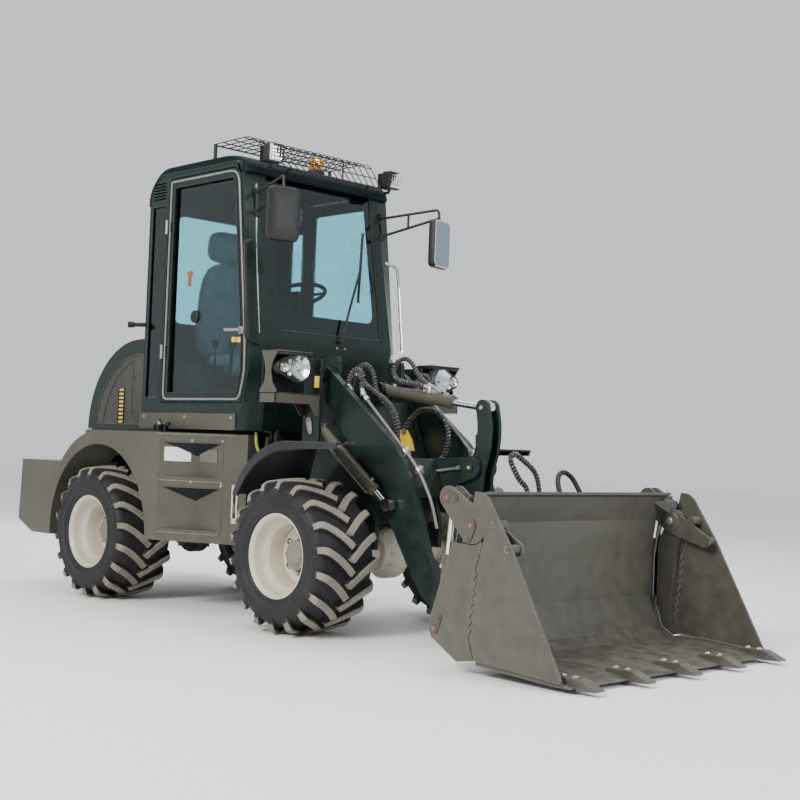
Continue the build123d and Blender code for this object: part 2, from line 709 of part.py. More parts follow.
def front_fender():
    rear = (1317, 680)
    edges = [
        ThreePointArc(rear, (1480, 880), (1760, 960)),
        Line((1760, 960), (2105, 960)),
        Line((2105, 960), (2105, 952)),
        Line((2105, 952), (1760, 952)),
        ThreePointArc((1760, 952), (1486, 873), (1325, 677)),
        Line((1325, 677), rear),
    ]
    skirt_edges = [
        ThreePointArc(rear, (1480, 880), (1760, 960)),
        Line((1760, 960), (2105, 960)),
        Line((2105, 960), (2095, 945)),
        Line((2095, 945), (1760, 915)),
        ThreePointArc((1760, 915), (1510, 845), (1352, 668)),
        Line((1352, 668), rear),
    ]
    sheet = plate(make_face(edges), 392, 724)
    skirt = plate(make_face(skirt_edges), 716, 724)
    arm = block(1500, 1560, POST_OUT_Y, 420, 880, 943) - slab(outline((1490, 392), (1570, 392), (1570, 430), (1490, 430)), 925, 950)
    return fused(sheet, skirt, arm)


def headlight_bracket():
    shelf = block(1450, 1580, POST_OUT_Y, 745, 1197, 1211)
    tab = block(1566, 1580, POST_OUT_Y, 410, 1148, 1200)
    side = block(1450, 1580, 737, 745, 1197, 1427)
    top = slab(outline((1460, 450), (1592, 430), (1600, 752), (1460, 745)), 1419, 1427)
    inner = block(1450, 1464, POST_OUT_Y, 745, 1205, 1425)
    return fused(shelf, tab, side, top, inner)


def headlight():
    case = block(1464, 1560, 455, 715, 1262, 1392)
    front = fillet(case.faces().sort_by(Axis.X)[-1].edges(), 14)
    foot = block(1490, 1530, 570, 600, 1211, 1265)
    return front + foot


# ---------------------------------------------------------------- boom and linkage
def arm_face():
    pivot_end = Pos(*BOOM_PIVOT) * Circle(58)
    beam = outline(
        (1475, 1364),
        (1545, 1358),
        (2048, 983),
        (2150, 870),
        (2215, 745),
        (2327, 442),
        (2400, 320),
        (2560, 270),
        (2560, 155),
        (2400, 150),
        (2290, 235),
        (2180, 380),
        (2042, 592),
        (1460, 1270),
    )
    foot = Pos(*BUCKET_HINGE) * Circle(60) + outline((2540, 155), (2600, 155), (2600, 275), (2540, 275))
    return pivot_end + beam + foot


BEAM = outline((2060, 700), (2130, 700), (2210, 760), (2130, 900), (2050, 880))


def boom():
    arm = plate(arm_face(), ARM_IN_Y, ARM_OUT_Y)
    boss = cross_pin(LIFT_EYE, 34, ARM_OUT_Y, ARM_OUT_Y + 9)
    arm = arm + boss - cross_pin(BOOM_PIVOT, 25 + RUN, 200, 400) - cross_pin(BUCKET_HINGE, 22 + RUN, 200, 400)
    beam = plate(BEAM, -ARM_IN_Y, ARM_IN_Y)
    tube = cross_pin((2335, 292), 28, -ARM_IN_Y, ARM_IN_Y)
    ear = strap(CRANK_PIVOT, 54, (2130, 810), 88)
    ears = twin(plate(ear, 50, 70))
    pin = cross_pin(CRANK_PIVOT, 20, -76, 76)
    return fused(twin(arm), beam, tube, ears, pin)


def crank_neck():
    """Curved neck of the crank, hollow to the front at mid height."""
    return [
        ThreePointArc((2378, 1163), (2392, 1010), (2330, 838)),
        Line((2330, 838), (2435, 838)),
        ThreePointArc((2435, 838), (2478, 1000), (2462, 1163)),
        Line((2462, 1163), (2378, 1163)),
    ]


def bell_crank():
    face = Pos(*CRANK_TOP) * Circle(42) + strap(CRANK_PIVOT, 62, CRANK_FOOT, 42)
    face = face + make_face(crank_neck())
    sides = twin(plate(face, 24, 44))
    spacer = block(2366, 2400, -24, 24, 980, 1030)
    foot_pin = cross_pin(CRANK_FOOT, 16, -48, 48)
    tube = cross_pin(CRANK_PIVOT, 34, -24, 24)
    return fused(sides, spacer, tube, foot_pin) - cross_pin(CRANK_PIVOT, 20 + RUN, -60, 60)


def bucket_link():
    face = strap(CRANK_FOOT, 36, LINK_PIN, 36)
    body = plate(face, -18, 18) - cross_pin(CRANK_FOOT, 16 + RUN, -30, 30)
    return body


def cylinder_parts(base, eye, y, barrel_radius, rod_radius, eye_half, barrel_end, rod_start, pin_radius):
    """Barrel turning on its base pin, and its rod with a round eye at the far end."""
    eye_radius = barrel_radius + 4

    def at(distance):
        x, z = point_along(base, eye, distance)
        return (x, y, z)

    length = math.dist(base, eye)
    bore = bar(at(60), at(barrel_end + 5), rod_radius + RUN)
    barrel = cross_pin(base, eye_radius, y - eye_half, y + eye_half) + bar(at(20), at(barrel_end), barrel_radius)
    barrel = barrel - bore - cross_pin(base, pin_radius + RUN, y - 60, y + 60)
    rod = bar(at(rod_start), at(length - 10), rod_radius) + cross_pin(eye, eye_radius, y - eye_half, y + eye_half)
    return barrel, rod


# ---------------------------------------------------------------- pipes and hoses
PIPE_RADIUS = 8
HOSE_RADIUS = 10
# right-hand X-Z points of the steel pipe inside the lift arm, and of the loop at its upper end
ARM_PIPE = [(1775, 1218), (1999, 997), (2128, 869), (2300, 670)]
ARM_LOOP = [(1775, 1218), (1758, 1268), (1766, 1316), (1744, 1346), (1704, 1350), (1672, 1322), (1658, 1280), (1676, 1240)]
# X, Y, Z points of the hoses from the tower's top plate or web forward and back to the web
TOWER_HOSES = [
    [(1500, -90, 1205), (1512, -92, 1290), (1560, -95, 1368), (1630, -100, 1388), (1690, -105, 1338), (1718, -110, 1262),
     (1770, -118, 1205), (1840, -125, 1160), (1893, -130, 1085), (1905, -135, 1000), (1880, -138, 915), (1826, -140, 860), (1768, -140, 836)],
    [(1500, -150, 1205), (1515, -152, 1265), (1565, -155, 1322), (1635, -160, 1325), (1705, -165, 1275), (1785, -168, 1232),
     (1870, -170, 1190), (1940, -172, 1120), (1965, -174, 1030), (1945, -176, 940), (1885, -178, 860), (1786, -180, 790)],
    [(1692, 130, 1030), (1750, 130, 1108), (1835, 130, 1158), (1940, 135, 1148), (2008, 140, 1085), (2020, 145, 1000),
     (1985, 150, 915), (1905, 150, 850), (1788, 150, 800)],
]
TILT_HOSE = [(2022, -12, 1262), (1935, -14, 1287), (1850, -14, 1297), (1778, -12, 1314), (1744, -8, 1362), (1770, -2, 1410),
             (1825, 4, 1424), (1874, 8, 1392), (1915, 10, 1336), (1965, 12, 1298), (2022, 12, 1268)]
BUCKET_HOSES = [
    [(2868, -285, 640), (2857, -300, 730), (2850, -322, 825), (2850, -316, 902), (2850, -268, 932), (2850, -214, 896),
     (2850, -170, 820), (2857, -142, 735), (2868, -134, 640)],
    [(2868, 100, 640), (2834, 98, 718), (2792, 106, 795), (2766, 134, 850), (2760, 190, 866), (2770, 243, 834),
     (2800, 268, 770), (2838, 280, 702), (2868, 284, 640)],
]


def boom_pipes():
    """Steel pipe in its clamps on each lift arm, with the hose loop at its upper end."""
    y = 10 - ARM_IN_Y
    pipe = bent_bar([(x, y, z) for x, z in ARM_PIPE], PIPE_RADIUS, 120)
    loop = hose([(x, y, z) for x, z in ARM_LOOP], HOSE_RADIUS - 1)
    clamps = [block(x - 16, x + 16, -ARM_IN_Y, y + 16, z - 16, z + 16) for x, z in (*ARM_PIPE[1:], (1790, 1203), ARM_LOOP[-1])]
    beam = plate(BEAM, -ARM_IN_Y, ARM_IN_Y)
    return twin(fused(pipe, loop, *clamps) - beam)


def tower_hoses():
    return [hose(points, HOSE_RADIUS) - front_chassis() for points in TOWER_HOSES]


def tilt_hoses():
    """Hose loop over the tilt cylinder, from one side of its valve block to the other."""
    base = block(2000, 2050, -24, 24, 1236, 1276) - bar((TILT_BASE[0], 0, TILT_BASE[1]), (CRANK_TOP[0], 0, CRANK_TOP[1]), 32)
    return base + hose(TILT_HOSE, HOSE_RADIUS - 1)


def bucket_hoses():
    return [hose(points, HOSE_RADIUS) - coupler() for points in BUCKET_HOSES]


# ---------------------------------------------------------------- bucket
MOLD_BACK = [(3060, 45), (2985, 90), (2925, 250), (2925, 450), (2955, 640), (3012, 762), (3048, 775)]
MOLD_FRONT = [(3064, 56), (2994, 97), (2936, 252), (2936, 448), (2965, 635), (3018, 751), (3050, 763)]
SPLIT_TOP = (3074, 444)
SPLIT_LOW = (3043, 162)
TOOTH = 13


def split_line(shift):
    """Zigzag front edge of the fixed side plate, from the bottom up."""
    points = [(3077 + shift, 64), (SPLIT_LOW[0] + shift, SPLIT_LOW[1])]
    steps = 7
    for step in range(steps):
        low_x = SPLIT_LOW[0] + (SPLIT_TOP[0] - SPLIT_LOW[0]) * (step + 0.6) / steps
        low_z = SPLIT_LOW[1] + (SPLIT_TOP[1] - SPLIT_LOW[1]) * (step + 0.6) / steps
        high_z = SPLIT_LOW[1] + (SPLIT_TOP[1] - SPLIT_LOW[1]) * (step + 1) / steps
        points.append((low_x + shift + TOOTH, low_z))
        points.append((low_x + shift - 2, high_z))
    return points


def jaw_arm_face(grow):
    ear_radius = EAR_RADIUS + grow
    return strap(JAW_EAR, ear_radius, JAW_PIVOT, HUB_PLATE_RADIUS + grow)


def bucket():
    back = plate(outline(*MOLD_BACK, *reversed(MOLD_FRONT)), -730, 730)
    notches = twin(block(2880, 3200, 700, 731, 380, 800))
    side = outline((2815, 165), (2830, 135), (2984, 48), *split_line(0), (3110, 560), (2960, 600), (2945, 585), (2880, 390), (2822, 230))
    open_ear = turned(JAW_EAR, JAW_PIVOT, JAW_OPEN)
    swept = strap(open_ear, EAR_RADIUS + PLAY, JAW_PIVOT, HUB_PLATE_RADIUS + PLAY) + jaw_arm_face(PLAY)
    skin = plate(side - swept, BUCKET_HALF_WIDTH - SIDE_WALL, BUCKET_HALF_WIDTH)
    doubler = outline((2960, 130), (3050, 80), (3040, 162), (3060, 440), (3080, 631), (3010, 631), (2960, 520))
    lug = plate(doubler + Pos(*JAW_PIVOT) * Circle(58), 730, BUCKET_HALF_WIDTH - SIDE_WALL - PLAY)
    filler = plate(outline((2960, 130), (3050, 80), (3040, 162), (3050, 350), (2960, 350)), 730, 770)
    lug = (lug + filler) - cross_pin(JAW_PIVOT, 20 + RUN, 700, 790)
    inner = plate(strap(JAW_CYLINDER_BASE, 36, (2960, 190), 60), 698, 710) & block(2700, 2975, 690, 720, 100, 300)
    base_pin = cross_pin(JAW_CYLINDER_BASE, 16, 698, BUCKET_HALF_WIDTH)
    ribs = [
        plate(outline((2880, 110), (2977, 110), (2926, 250), (2926, 450), (2955, 640), (2880, 640)), y, y + 16)
        for y in (240, 306)
    ]
    body = fused(cut(back, notches), *[twin(r) for r in ribs], *[twin(s) for s in (skin, lug, inner, base_pin)])
    return body


def coupler():
    side = outline((2560, 180), (2600, 165), (2880, 110), (2880, 640), (2840, 640), (2680, 330), (2570, 255))
    face = side + Pos(*BUCKET_HINGE) * Circle(50)
    ears = [twin(plate(face, low_y, low_y + 16)) for low_y in (240, 306)]
    pins = twin(cross_pin(BUCKET_HINGE, 22, 236, 326))
    wall = block(2856, 2880, -322, 322, 110, 640)
    tube = cross_pin((2838, 590), 26, -306, 306)
    link_ear = outline((2690, 340), (2860, 300), (2860, 520), (2720, 410)) + Pos(*LINK_PIN) * Circle(36)
    link_ears = twin(plate(link_ear, 24, 42))
    return fused(*ears, pins, wall, tube, link_ears)


def jaw():
    plate_in = BUCKET_HALF_WIDTH - SIDE_WALL
    front = outline(
        (3045, 700),
        (3060, 775),
        (3100, 772),
        (3135, 749),
        (3269, 550),
        (3545, 53),
        (3545, 36),
        (3083, 64),
        *split_line(PLAY)[1:],
        (3118, 575),
    )
    outer = plate(jaw_arm_face(0) + front, plate_in, BUCKET_HALF_WIDTH)
    inner_face = strap(JAW_EAR, EAR_RADIUS, JAW_PIVOT, 56) + strap(JAW_PIVOT, 56, (3245, 545), 30)
    inner = plate(inner_face, 706, 718)
    spacers = [cross_pin(centre, 20, 706, plate_in + 1) for centre in ((3245, 545), (3165, 640))]
    pivot_pin = cross_pin(JAW_PIVOT, 20, 700, BUCKET_HALF_WIDTH + 2)
    floor = outline((3083, 44), (3480, 20), (3585, 20), (3590, 26), (3500, 40), (3083, 62))
    floor_plate = plate(floor, -plate_in, plate_in)
    tooth = outline((3470, 30), (3600, 16), (TEETH_X, 20), (TEETH_X, 26), (3600, 60), (3470, 60))
    teeth = [plate(tooth, y - 30, y + 30) for y in (-707, -353, 0, 353, 707)]
    return fused(twin(outer), twin(inner), *[twin(s) for s in spacers], twin(pivot_pin), floor_plate, teeth)


# ---------------------------------------------------------------- export
def main():
    os.makedirs("parts", exist_ok=True)
    wheels()
    export_node("rear_chassis", rear_chassis())
    export_node("rear_axle", axle(0))
    export_node("engine_block", engine())
    export_node("engine_skirt", engine_skirt())
    export_node("counterweight", counterweight())
    for side, flip in (("left", False), ("right", True)):
        for name, make in (
            ("side_box", side_box),
            ("rear_fender", rear_fender),
            ("door", door),
            ("door_glass", door_glass),
        ):
            shape = make()
            export_node(f"{name}_{side}", left_of(shape) if flip else shape)
    export_node("hood", hood())
    export_node("hood_side_panels", twin(hood_side_panel()))
    export_node("hood_grille", hood_grille())
    export_node("cab_shell", cab_shell())
    export_node("cab_roof", cab_roof())
    export_node("cab_windows", cab_windows())
    export_node("seat", seat())
    export_node("steering_wheel", steering_wheel())
    export_node("sill_plates", twin(sill_plate()))
    export_node("handrails", twin(handrail()))
    export_node("roof_rack", roof_rack())
    export_node("beacon", beacon())
    export_node("work_lights", twin(work_light()))
    export_node("mirrors", twin(mirror_set()))
    export_node("wiper", wiper())
    export_node("front_chassis", front_chassis())
    export_node("front_axle", axle(WHEELBASE))
    export_node("front_fenders", twin(front_fender()))
    export_node("headlight_brackets", twin(headlight_bracket()))
    export_node("headlights", twin(headlight()))
    export_node("boom", boom())
    export_node("boom_pipes", boom_pipes())
    export_node("tower_hoses", tower_hoses())
    export_node("tilt_hoses", tilt_hoses())
    export_node("bucket_hoses", bucket_hoses())
    export_node("bell_crank", bell_crank())
    export_node("bucket_link", bucket_link())
    tilt_barrel, tilt_rod = cylinder_parts(TILT_BASE, CRANK_TOP, 0, 32, 18, 20, 520, 300, 15)
    export_node("tilt_barrel", tilt_barrel)
    export_node("tilt_rod", tilt_rod)
    lift_barrel, lift_rod = cylinder_parts(LIFT_BASE, LIFT_EYE, LIFT_Y, 28, 16, 20, 590, 110, 16)
    export_node("lift_barrels", twin(lift_barrel))
    export_node("lift_rods", twin(lift_rod))
    jaw_barrel, jaw_rod = cylinder_parts(JAW_CYLINDER_BASE, JAW_EAR, JAW_CYLINDER_Y, 25, 14, 18, 320, 210, 16)
    export_node("jaw_barrels", twin(jaw_barrel))
    export_node("jaw_rods", twin(jaw_rod))
    export_node("coupler", coupler())
    export_node("bucket", bucket())
    export_node("bucket_jaw", jaw())
    steer_barrel, steer_rod = steer_cylinder()
    export_node("steer_barrel", steer_barrel)
    export_node("steer_rod", steer_rod)


def steer_cylinder():
    barrel, rod = cylinder_parts(STEER_BASE, STEER_EYE, 0, 24, 14, 16, 330, 230, 12)
    lay_flat = Pos(0, 0, STEER_CYLINDER_Z) * Rot(-90, 0, 0) * Rot(0, 0, 0)
    return lay_flat * barrel, lay_flat * rod


main()
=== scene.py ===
import json
import math

import bmesh
import bpy
from mathutils import Matrix, Vector


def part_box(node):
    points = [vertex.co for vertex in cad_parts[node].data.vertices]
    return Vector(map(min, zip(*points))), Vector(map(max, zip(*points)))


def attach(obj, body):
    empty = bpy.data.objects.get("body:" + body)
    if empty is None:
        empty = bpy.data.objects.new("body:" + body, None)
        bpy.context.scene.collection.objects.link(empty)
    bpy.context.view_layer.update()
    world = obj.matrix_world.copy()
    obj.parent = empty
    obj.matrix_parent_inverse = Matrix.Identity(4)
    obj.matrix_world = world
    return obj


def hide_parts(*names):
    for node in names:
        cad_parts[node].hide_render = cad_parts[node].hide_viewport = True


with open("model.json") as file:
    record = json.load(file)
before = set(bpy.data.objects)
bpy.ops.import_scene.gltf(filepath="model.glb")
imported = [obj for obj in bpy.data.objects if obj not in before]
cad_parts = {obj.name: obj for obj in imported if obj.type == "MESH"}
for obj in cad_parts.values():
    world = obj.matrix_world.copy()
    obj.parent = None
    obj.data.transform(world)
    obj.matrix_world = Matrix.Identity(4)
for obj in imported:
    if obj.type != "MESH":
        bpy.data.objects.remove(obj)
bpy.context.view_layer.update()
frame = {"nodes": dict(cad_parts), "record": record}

# ------------------------------------------------------------------ studio
# A pale floor, soft area lamps and a white room, with the camera low at the
# machine's front right corner.
FRAME_ORIGIN = 1390.5  # how far the frame's origin lies ahead of the rear axle


def spot(x, y, z):
    """Point of the drawing, in millimetres from the rear axle, in metres of the frame."""
    return Vector(((x - FRAME_ORIGIN) / 1000, y / 1000, z / 1000))


def new_material(name, **values):
    """Principled material with its plain values, and its tree."""
    material = bpy.data.materials.new(name)
    material.use_nodes = True
    shader = material.node_tree.nodes["Principled BSDF"]
    for socket, value in values.items():
        shader.inputs[socket.replace("_", " ")].default_value = value
    return material, material.node_tree, shader


floor_mesh = bpy.data.meshes.new("studio_floor")
floor_mesh.from_pydata([(-30, -30, 0), (30, -30, 0), (30, 30, 0), (-30, 30, 0)], [], [(0, 1, 2, 3)])
floor = bpy.data.objects.new("studio_floor", floor_mesh)
floor_mesh.materials.append(new_material("studio_floor", Base_Color=(0.93, 0.93, 0.92, 1), Roughness=0.7)[0])
bpy.context.collection.objects.link(floor)

camera_data = bpy.data.cameras.new("camera")
camera_data.sensor_width = 36
camera_data.lens = 59.4
camera = bpy.data.objects.new("camera", camera_data)
yaw, pitch, roll = math.radians(135.33), math.radians(2.07), math.radians(2.15)
ahead = Vector((math.cos(pitch) * math.cos(yaw), math.cos(pitch) * math.sin(yaw), math.sin(pitch)))
across = ahead.cross(Vector((0, 0, 1))).normalized()
above = across.cross(ahead)
right = across * math.cos(roll) + above * math.sin(roll)
up = above * math.cos(roll) - across * math.sin(roll)
aim = Matrix((right, up, -ahead)).transposed().to_4x4()
camera.matrix_world = Matrix.Translation(spot(6808, -4957, 949)) @ aim
bpy.context.collection.objects.link(camera)
bpy.context.scene.camera = camera

for name, place, target, size, power in (
    ("key", (1.5, -7.5, 5.5), (0, 0, 1), 2.6, 760),
    ("front", (8.5, 1.5, 4.0), (1, 0, 0.8), 3.0, 330),
    ("top", (-1.0, 1.0, 7.5), (0, 0, 1), 5.0, 260),
    ("back", (-6.5, 4.5, 3.5), (0, 0, 1), 3.0, 170),
):
    lamp = bpy.data.lights.new(name, "AREA")
    lamp.size = size
    lamp.energy = power
    lamp.color = (1.0, 0.96, 0.89) if name == "key" else (0.95, 0.98, 1.0)
    holder = bpy.data.objects.new(name, lamp)
    holder.location = place
    holder.rotation_euler = (Vector(place) - Vector(target)).to_track_quat("Z", "Y").to_euler()
    bpy.context.collection.objects.link(holder)

room = bpy.data.worlds.new("room")
room.use_nodes = True
room.node_tree.nodes["Background"].inputs["Color"].default_value = (0.92, 0.96, 1.0, 1)
room.node_tree.nodes["Background"].inputs["Strength"].default_value = 0.9
bpy.context.scene.world = room


# ------------------------------------------------------------------ finishes
# Sprayed enamel over steel, bare and cast iron, rubber, moulded plastic and
# glass, all a little dusty from a yard. One group makes dust, patches and edge
# wear, whose colour on the boom and bucket is partly a painted highlight.
def weathering_and_highlight_group():
    group = bpy.data.node_groups.new("Weathering And Highlight", "ShaderNodeTree")
    for kind, name, value in (
        ("Color", "Colour", (0.5, 0.5, 0.5, 1)),
        ("Color", "Dust Colour", (0.35, 0.31, 0.25, 1)),
        ("Color", "Wear And Highlight Colour", (0.4, 0.4, 0.4, 1)),
        ("Float", "Dust", 0.3),
        ("Float", "Wear And Highlight", 0.2),
        ("Float", "Variation", 0.15),
        ("Float", "Roughness", 0.4),
        ("Float", "Grain Scale", 400.0),
    ):
        socket = group.interface.new_socket(name, in_out="INPUT", socket_type="NodeSocket" + kind)
        socket.default_value = value
    for kind, name in (("Color", "Colour"), ("Float", "Roughness"), ("Float", "Height")):
        group.interface.new_socket(name, in_out="OUTPUT", socket_type="NodeSocket" + kind)
    make, link = group.nodes.new, group.links.new
    given = make("NodeGroupInput").outputs
    place = make("ShaderNodeTexCoord").outputs

    def noise(scale, detail):
        node = make("ShaderNodeTexNoise")
        node.inputs["Scale"].default_value = scale
        node.inputs["Detail"].default_value = detail
        link(place["Object"], node.inputs["Vector"])
        return node

    def spread(value, low, high, to_low=0.0, to_high=1.0):
        node = make("ShaderNodeMapRange")
        limits = {"From Min": low, "From Max": high, "To Min": to_low, "To Max": to_high}
        for socket, number in limits.items():
            node.inputs[socket].default_value = number
        link(value, node.inputs["Value"])
        return node.outputs["Result"]

    def maths(operation, first, second):
        node = make("ShaderNodeMath")
        node.operation = operation
        for socket, value in zip(node.inputs, (first, second)):
            if isinstance(value, (int, float)):
                socket.default_value = value
            else:
                link(value, socket)
        return node.outputs[0]

    def times(first, second):
        return maths("MULTIPLY", first, second)

    def plus(first, second):
        return maths("ADD", first, second)

    def vector_maths(operation, first, second, socket):
        node = make("ShaderNodeVectorMath")
        node.operation = operation
        link(first, node.inputs[0])
        link(second, node.inputs[socket])
        return node.outputs

    def upright(source):
        node = make("ShaderNodeSeparateXYZ")
        link(source, node.inputs[0])
        return node.outputs["Z"]

    def mixed(share, first, second):
        node = make("ShaderNodeMix")
        node.data_type = "RGBA"
        for socket, value in ((0, share), (6, first), (7, second)):
            link(value, node.inputs[socket])
        return node.outputs[2]

    patches = noise(2.2, 5).outputs["Fac"]
    blotches = noise(14, 6).outputs["Fac"]
    specks = noise(90, 3).outputs["Fac"]
    grain = noise(400, 2)
    link(given["Grain Scale"], grain.inputs["Scale"])
    upward = spread(upright(place["Normal"]), 0.25, 0.95)
    near_ground = spread(upright(place["Object"]), 0.9, 0.1, 0.06, 0.4)
    dust = times(times(maths("MAXIMUM", upward, near_ground), spread(blotches, 0.3, 0.68)), given["Dust"])
    dust = plus(dust, times(spread(specks, 0.55, 0.75), times(given["Dust"], 0.12)))

    # Edges found by the bevel take the wear colour: worn paint, and on the boom and bucket finishes also a
    # painted highlight along the edges.
    soft = make("ShaderNodeBevel")
    soft.samples = 4
    soft.inputs["Radius"].default_value = 0.005
    sharp = make("ShaderNodeNewGeometry")
    meet = vector_maths("DOT_PRODUCT", soft.outputs["Normal"], sharp.outputs["True Normal"], 1)
    edge = spread(meet["Value"], 0.985, 0.8)
    wear_and_highlight = times(times(edge, spread(specks, 0.42, 0.6)), given["Wear And Highlight"])

    shade = plus(spread(patches, 0.3, 0.7, -1, 1), spread(blotches, 0.3, 0.7, -0.5, 0.5))
    shade = plus(1.0, times(shade, given["Variation"]))
    tinted = vector_maths("SCALE", given["Colour"], shade, "Scale")
    colour = mixed(wear_and_highlight, tinted[0], given["Wear And Highlight Colour"])
    rough = plus(given["Roughness"], times(dust, 0.45))
    result = make("NodeGroupOutput").inputs
    link(mixed(dust, colour, given["Dust Colour"]), result["Colour"])
    link(plus(rough, spread(blotches, 0.3, 0.7, -0.05, 0.05)), result["Roughness"])
    link(plus(grain.outputs["Fac"], times(specks, 0.4)), result["Height"])
    return group


weathering_and_highlight = weathering_and_highlight_group()


def finish_material(name, colour, roughness=0.45, metallic=0.0, coat=0.0, dust=0.25, wear_and_highlight=0.25,
                    variation=0.12, wear_and_highlight_colour=(0.32, 0.32, 0.31), dust_colour=(0.36, 0.32, 0.25),
                    grain=400.0, bump=0.08, specular=0.5):
    material, tree, shader = new_material(name, Metallic=metallic, Coat_Weight=coat, Coat_Roughness=0.08,
                                          Specular_IOR_Level=specular)
    effect = tree.nodes.new("ShaderNodeGroup")
    effect.node_tree = weathering_and_highlight
    for socket, value in (
        ("Colour", (*colour, 1)),
        ("Dust Colour", (*dust_colour, 1)),
        ("Wear And Highlight Colour", (*wear_and_highlight_colour, 1)),
        ("Dust", dust),
        ("Wear And Highlight", wear_and_highlight),
        ("Variation", variation),
        ("Roughness", roughness),
        ("Grain Scale", grain),
    ):
        effect.inputs[socket].default_value = value
    relief = tree.nodes.new("ShaderNodeBump")
    relief.inputs["Strength"].default_value = bump
    relief.inputs["Distance"].default_value = 0.002
    tree.links.new(effect.outputs["Colour"], shader.inputs["Base Color"])
    tree.links.new(effect.outputs["Roughness"], shader.inputs["Roughness"])
    tree.links.new(effect.outputs["Height"], relief.inputs["Height"])
    tree.links.new(relief.outputs["Normal"], shader.inputs["Normal"])
    return material


def glass_material(name, colour, roughness=0.045):
    material, tree, shader = new_material(name, Base_Color=(*colour, 1), Transmission_Weight=1.0,
                                          Roughness=roughness, IOR=1.45)
    place = tree.nodes.new("ShaderNodeTexCoord")
    film = tree.nodes.new("ShaderNodeTexNoise")
    film.inputs["Scale"].default_value = 6
    film.inputs["Detail"].default_value = 6
    tree.links.new(place.outputs["Object"], film.inputs["Vector"])
    smear = tree.nodes.new("ShaderNodeMapRange")
    limits = {"From Min": 0.45, "From Max": 0.75, "To Min": roughness, "To Max": roughness + 0.03}
    for socket, value in limits.items():
        smear.inputs[socket].default_value = value
    tree.links.new(film.outputs["Fac"], smear.inputs["Value"])
    tree.links.new(smear.outputs["Result"], shader.inputs["Roughness"])
    return material


MACHINE_GREEN = (0.0070, 0.0165, 0.0145)
green_paint = finish_material("green_paint", MACHINE_GREEN, 0.28, coat=0.16, dust=0.05, wear_and_highlight=0.12,
                              variation=0.16, wear_and_highlight_colour=(0.10, 0.12, 0.11), bump=0.015, specular=0.2)
# The boom paint's bluish edge colour is partly worn paint and partly a painted highlight along the edges.
boom_paint = finish_material("boom_paint", MACHINE_GREEN, 0.34, coat=0.15, dust=0.10, wear_and_highlight=0.45,
                             variation=0.18, wear_and_highlight_colour=(0.10, 0.13, 0.16), bump=0.04, specular=0.25)
olive_paint = finish_material("olive_paint", (0.062, 0.058, 0.044), 0.42, coat=0.05, dust=0.12, wear_and_highlight=0.3,
                              wear_and_highlight_colour=(0.20, 0.19, 0.17), bump=0.05, specular=0.35)
# The bucket paint's strong bluish-grey edge colour is partly worn steel and partly a painted highlight along
# the edges.
bucket_paint = finish_material("bucket_paint", (0.066, 0.063, 0.051), 0.40, coat=0.05, dust=0.42, wear_and_highlight=0.9,
                               variation=0.13, wear_and_highlight_colour=(0.21, 0.24, 0.29),
                               dust_colour=(0.20, 0.175, 0.14), specular=0.35)
cream_paint = finish_material("cream_paint", (0.56, 0.52, 0.42), 0.42, coat=0.1, dust=0.3, wear_and_highlight=0.2,
                              variation=0.10, wear_and_highlight_colour=(0.35, 0.32, 0.27),
                              dust_colour=(0.40, 0.36, 0.28), bump=0.05)
rubber = finish_material("rubber", (0.011, 0.012, 0.014), 0.55, dust=0.16, variation=0.3, specular=0.25,
                         wear_and_highlight_colour=(0.14, 0.125, 0.10), dust_colour=(0.16, 0.14, 0.115),
                         grain=250, bump=0.25)
black_plastic = finish_material("black_plastic", (0.010, 0.010, 0.011), specular=0.3, dust=0.15, wear_and_highlight=0.15,
                                variation=0.15, wear_and_highlight_colour=(0.10, 0.10, 0.10), grain=700, bump=0.15)
chrome = finish_material("chrome", (0.78, 0.78, 0.78), 0.12, metallic=1.0, dust=0.1, wear_and_highlight=0.0,
                         variation=0.05, bump=0.01)
dark_iron = finish_material("dark_iron", (0.055, 0.052, 0.048), 0.55, metallic=0.5, dust=0.3, wear_and_highlight=0.3,
                            variation=0.2, grain=160, bump=0.3)
cab_glass = glass_material("cab_glass", (0.19, 0.34, 0.37))
clear_lens = glass_material("clear_lens", (0.92, 0.94, 0.95))
amber_lens = glass_material("amber_lens", (0.95, 0.38, 0.03), 0.08)

plain_finish = {
    "hull_paint": green_paint,
    "trim_paint": olive_paint,
    "rim_paint": cream_paint,
    "chrome": chrome,
    "tyre": rubber,
    "black_plastic": black_plastic,
    "glass": cab_glass,
    "lamp_glass": clear_lens,
    "amber": amber_lens,
    "iron": dark_iron,
    "seat_fabric": black_plastic,
}
for part in frame["record"]["subparts"]:
    drawn = frame["nodes"][part["node"]]
    drawn.data.materials.clear()
    drawn.data.materials.append(plain_finish[part["material_slot"]])
for name in ("boom", "bell_crank", "bucket_link", "front_chassis", "rear_chassis"):
    frame["nodes"][name].data.materials[0] = boom_paint
for name in ("bucket", "bucket_jaw", "coupler"):
    frame["nodes"][name].data.materials[0] = bucket_paint


# ------------------------------------------------------------------ tyres
# Farm-lug tyres: moulded rubber, a round-shouldered carcass with raised rings
# on its side walls and eighteen curved bars a side, fused to the tread.
def angles(count):
    return [math.tau * k / count for k in range(count)]


def make_object(name, bm, *materials, smooth=True, sharp=35):
    """Object from a finished bmesh, smooth but for its sharp edges."""
    mesh = bpy.data.meshes.new(name)
    bm.normal_update()
    for edge in bm.edges:
        if len(edge.link_faces) == 2 and edge.calc_face_angle(0) > math.radians(sharp):
            edge.smooth = False
    for face in bm.faces:
        face.smooth = smooth
    bm.to_mesh(mesh)
    bm.free()
    for material in materials:
        mesh.materials.append(material)
    piece = bpy.data.objects.new(name, mesh)
    bpy.context.collection.objects.link(piece)
    return piece


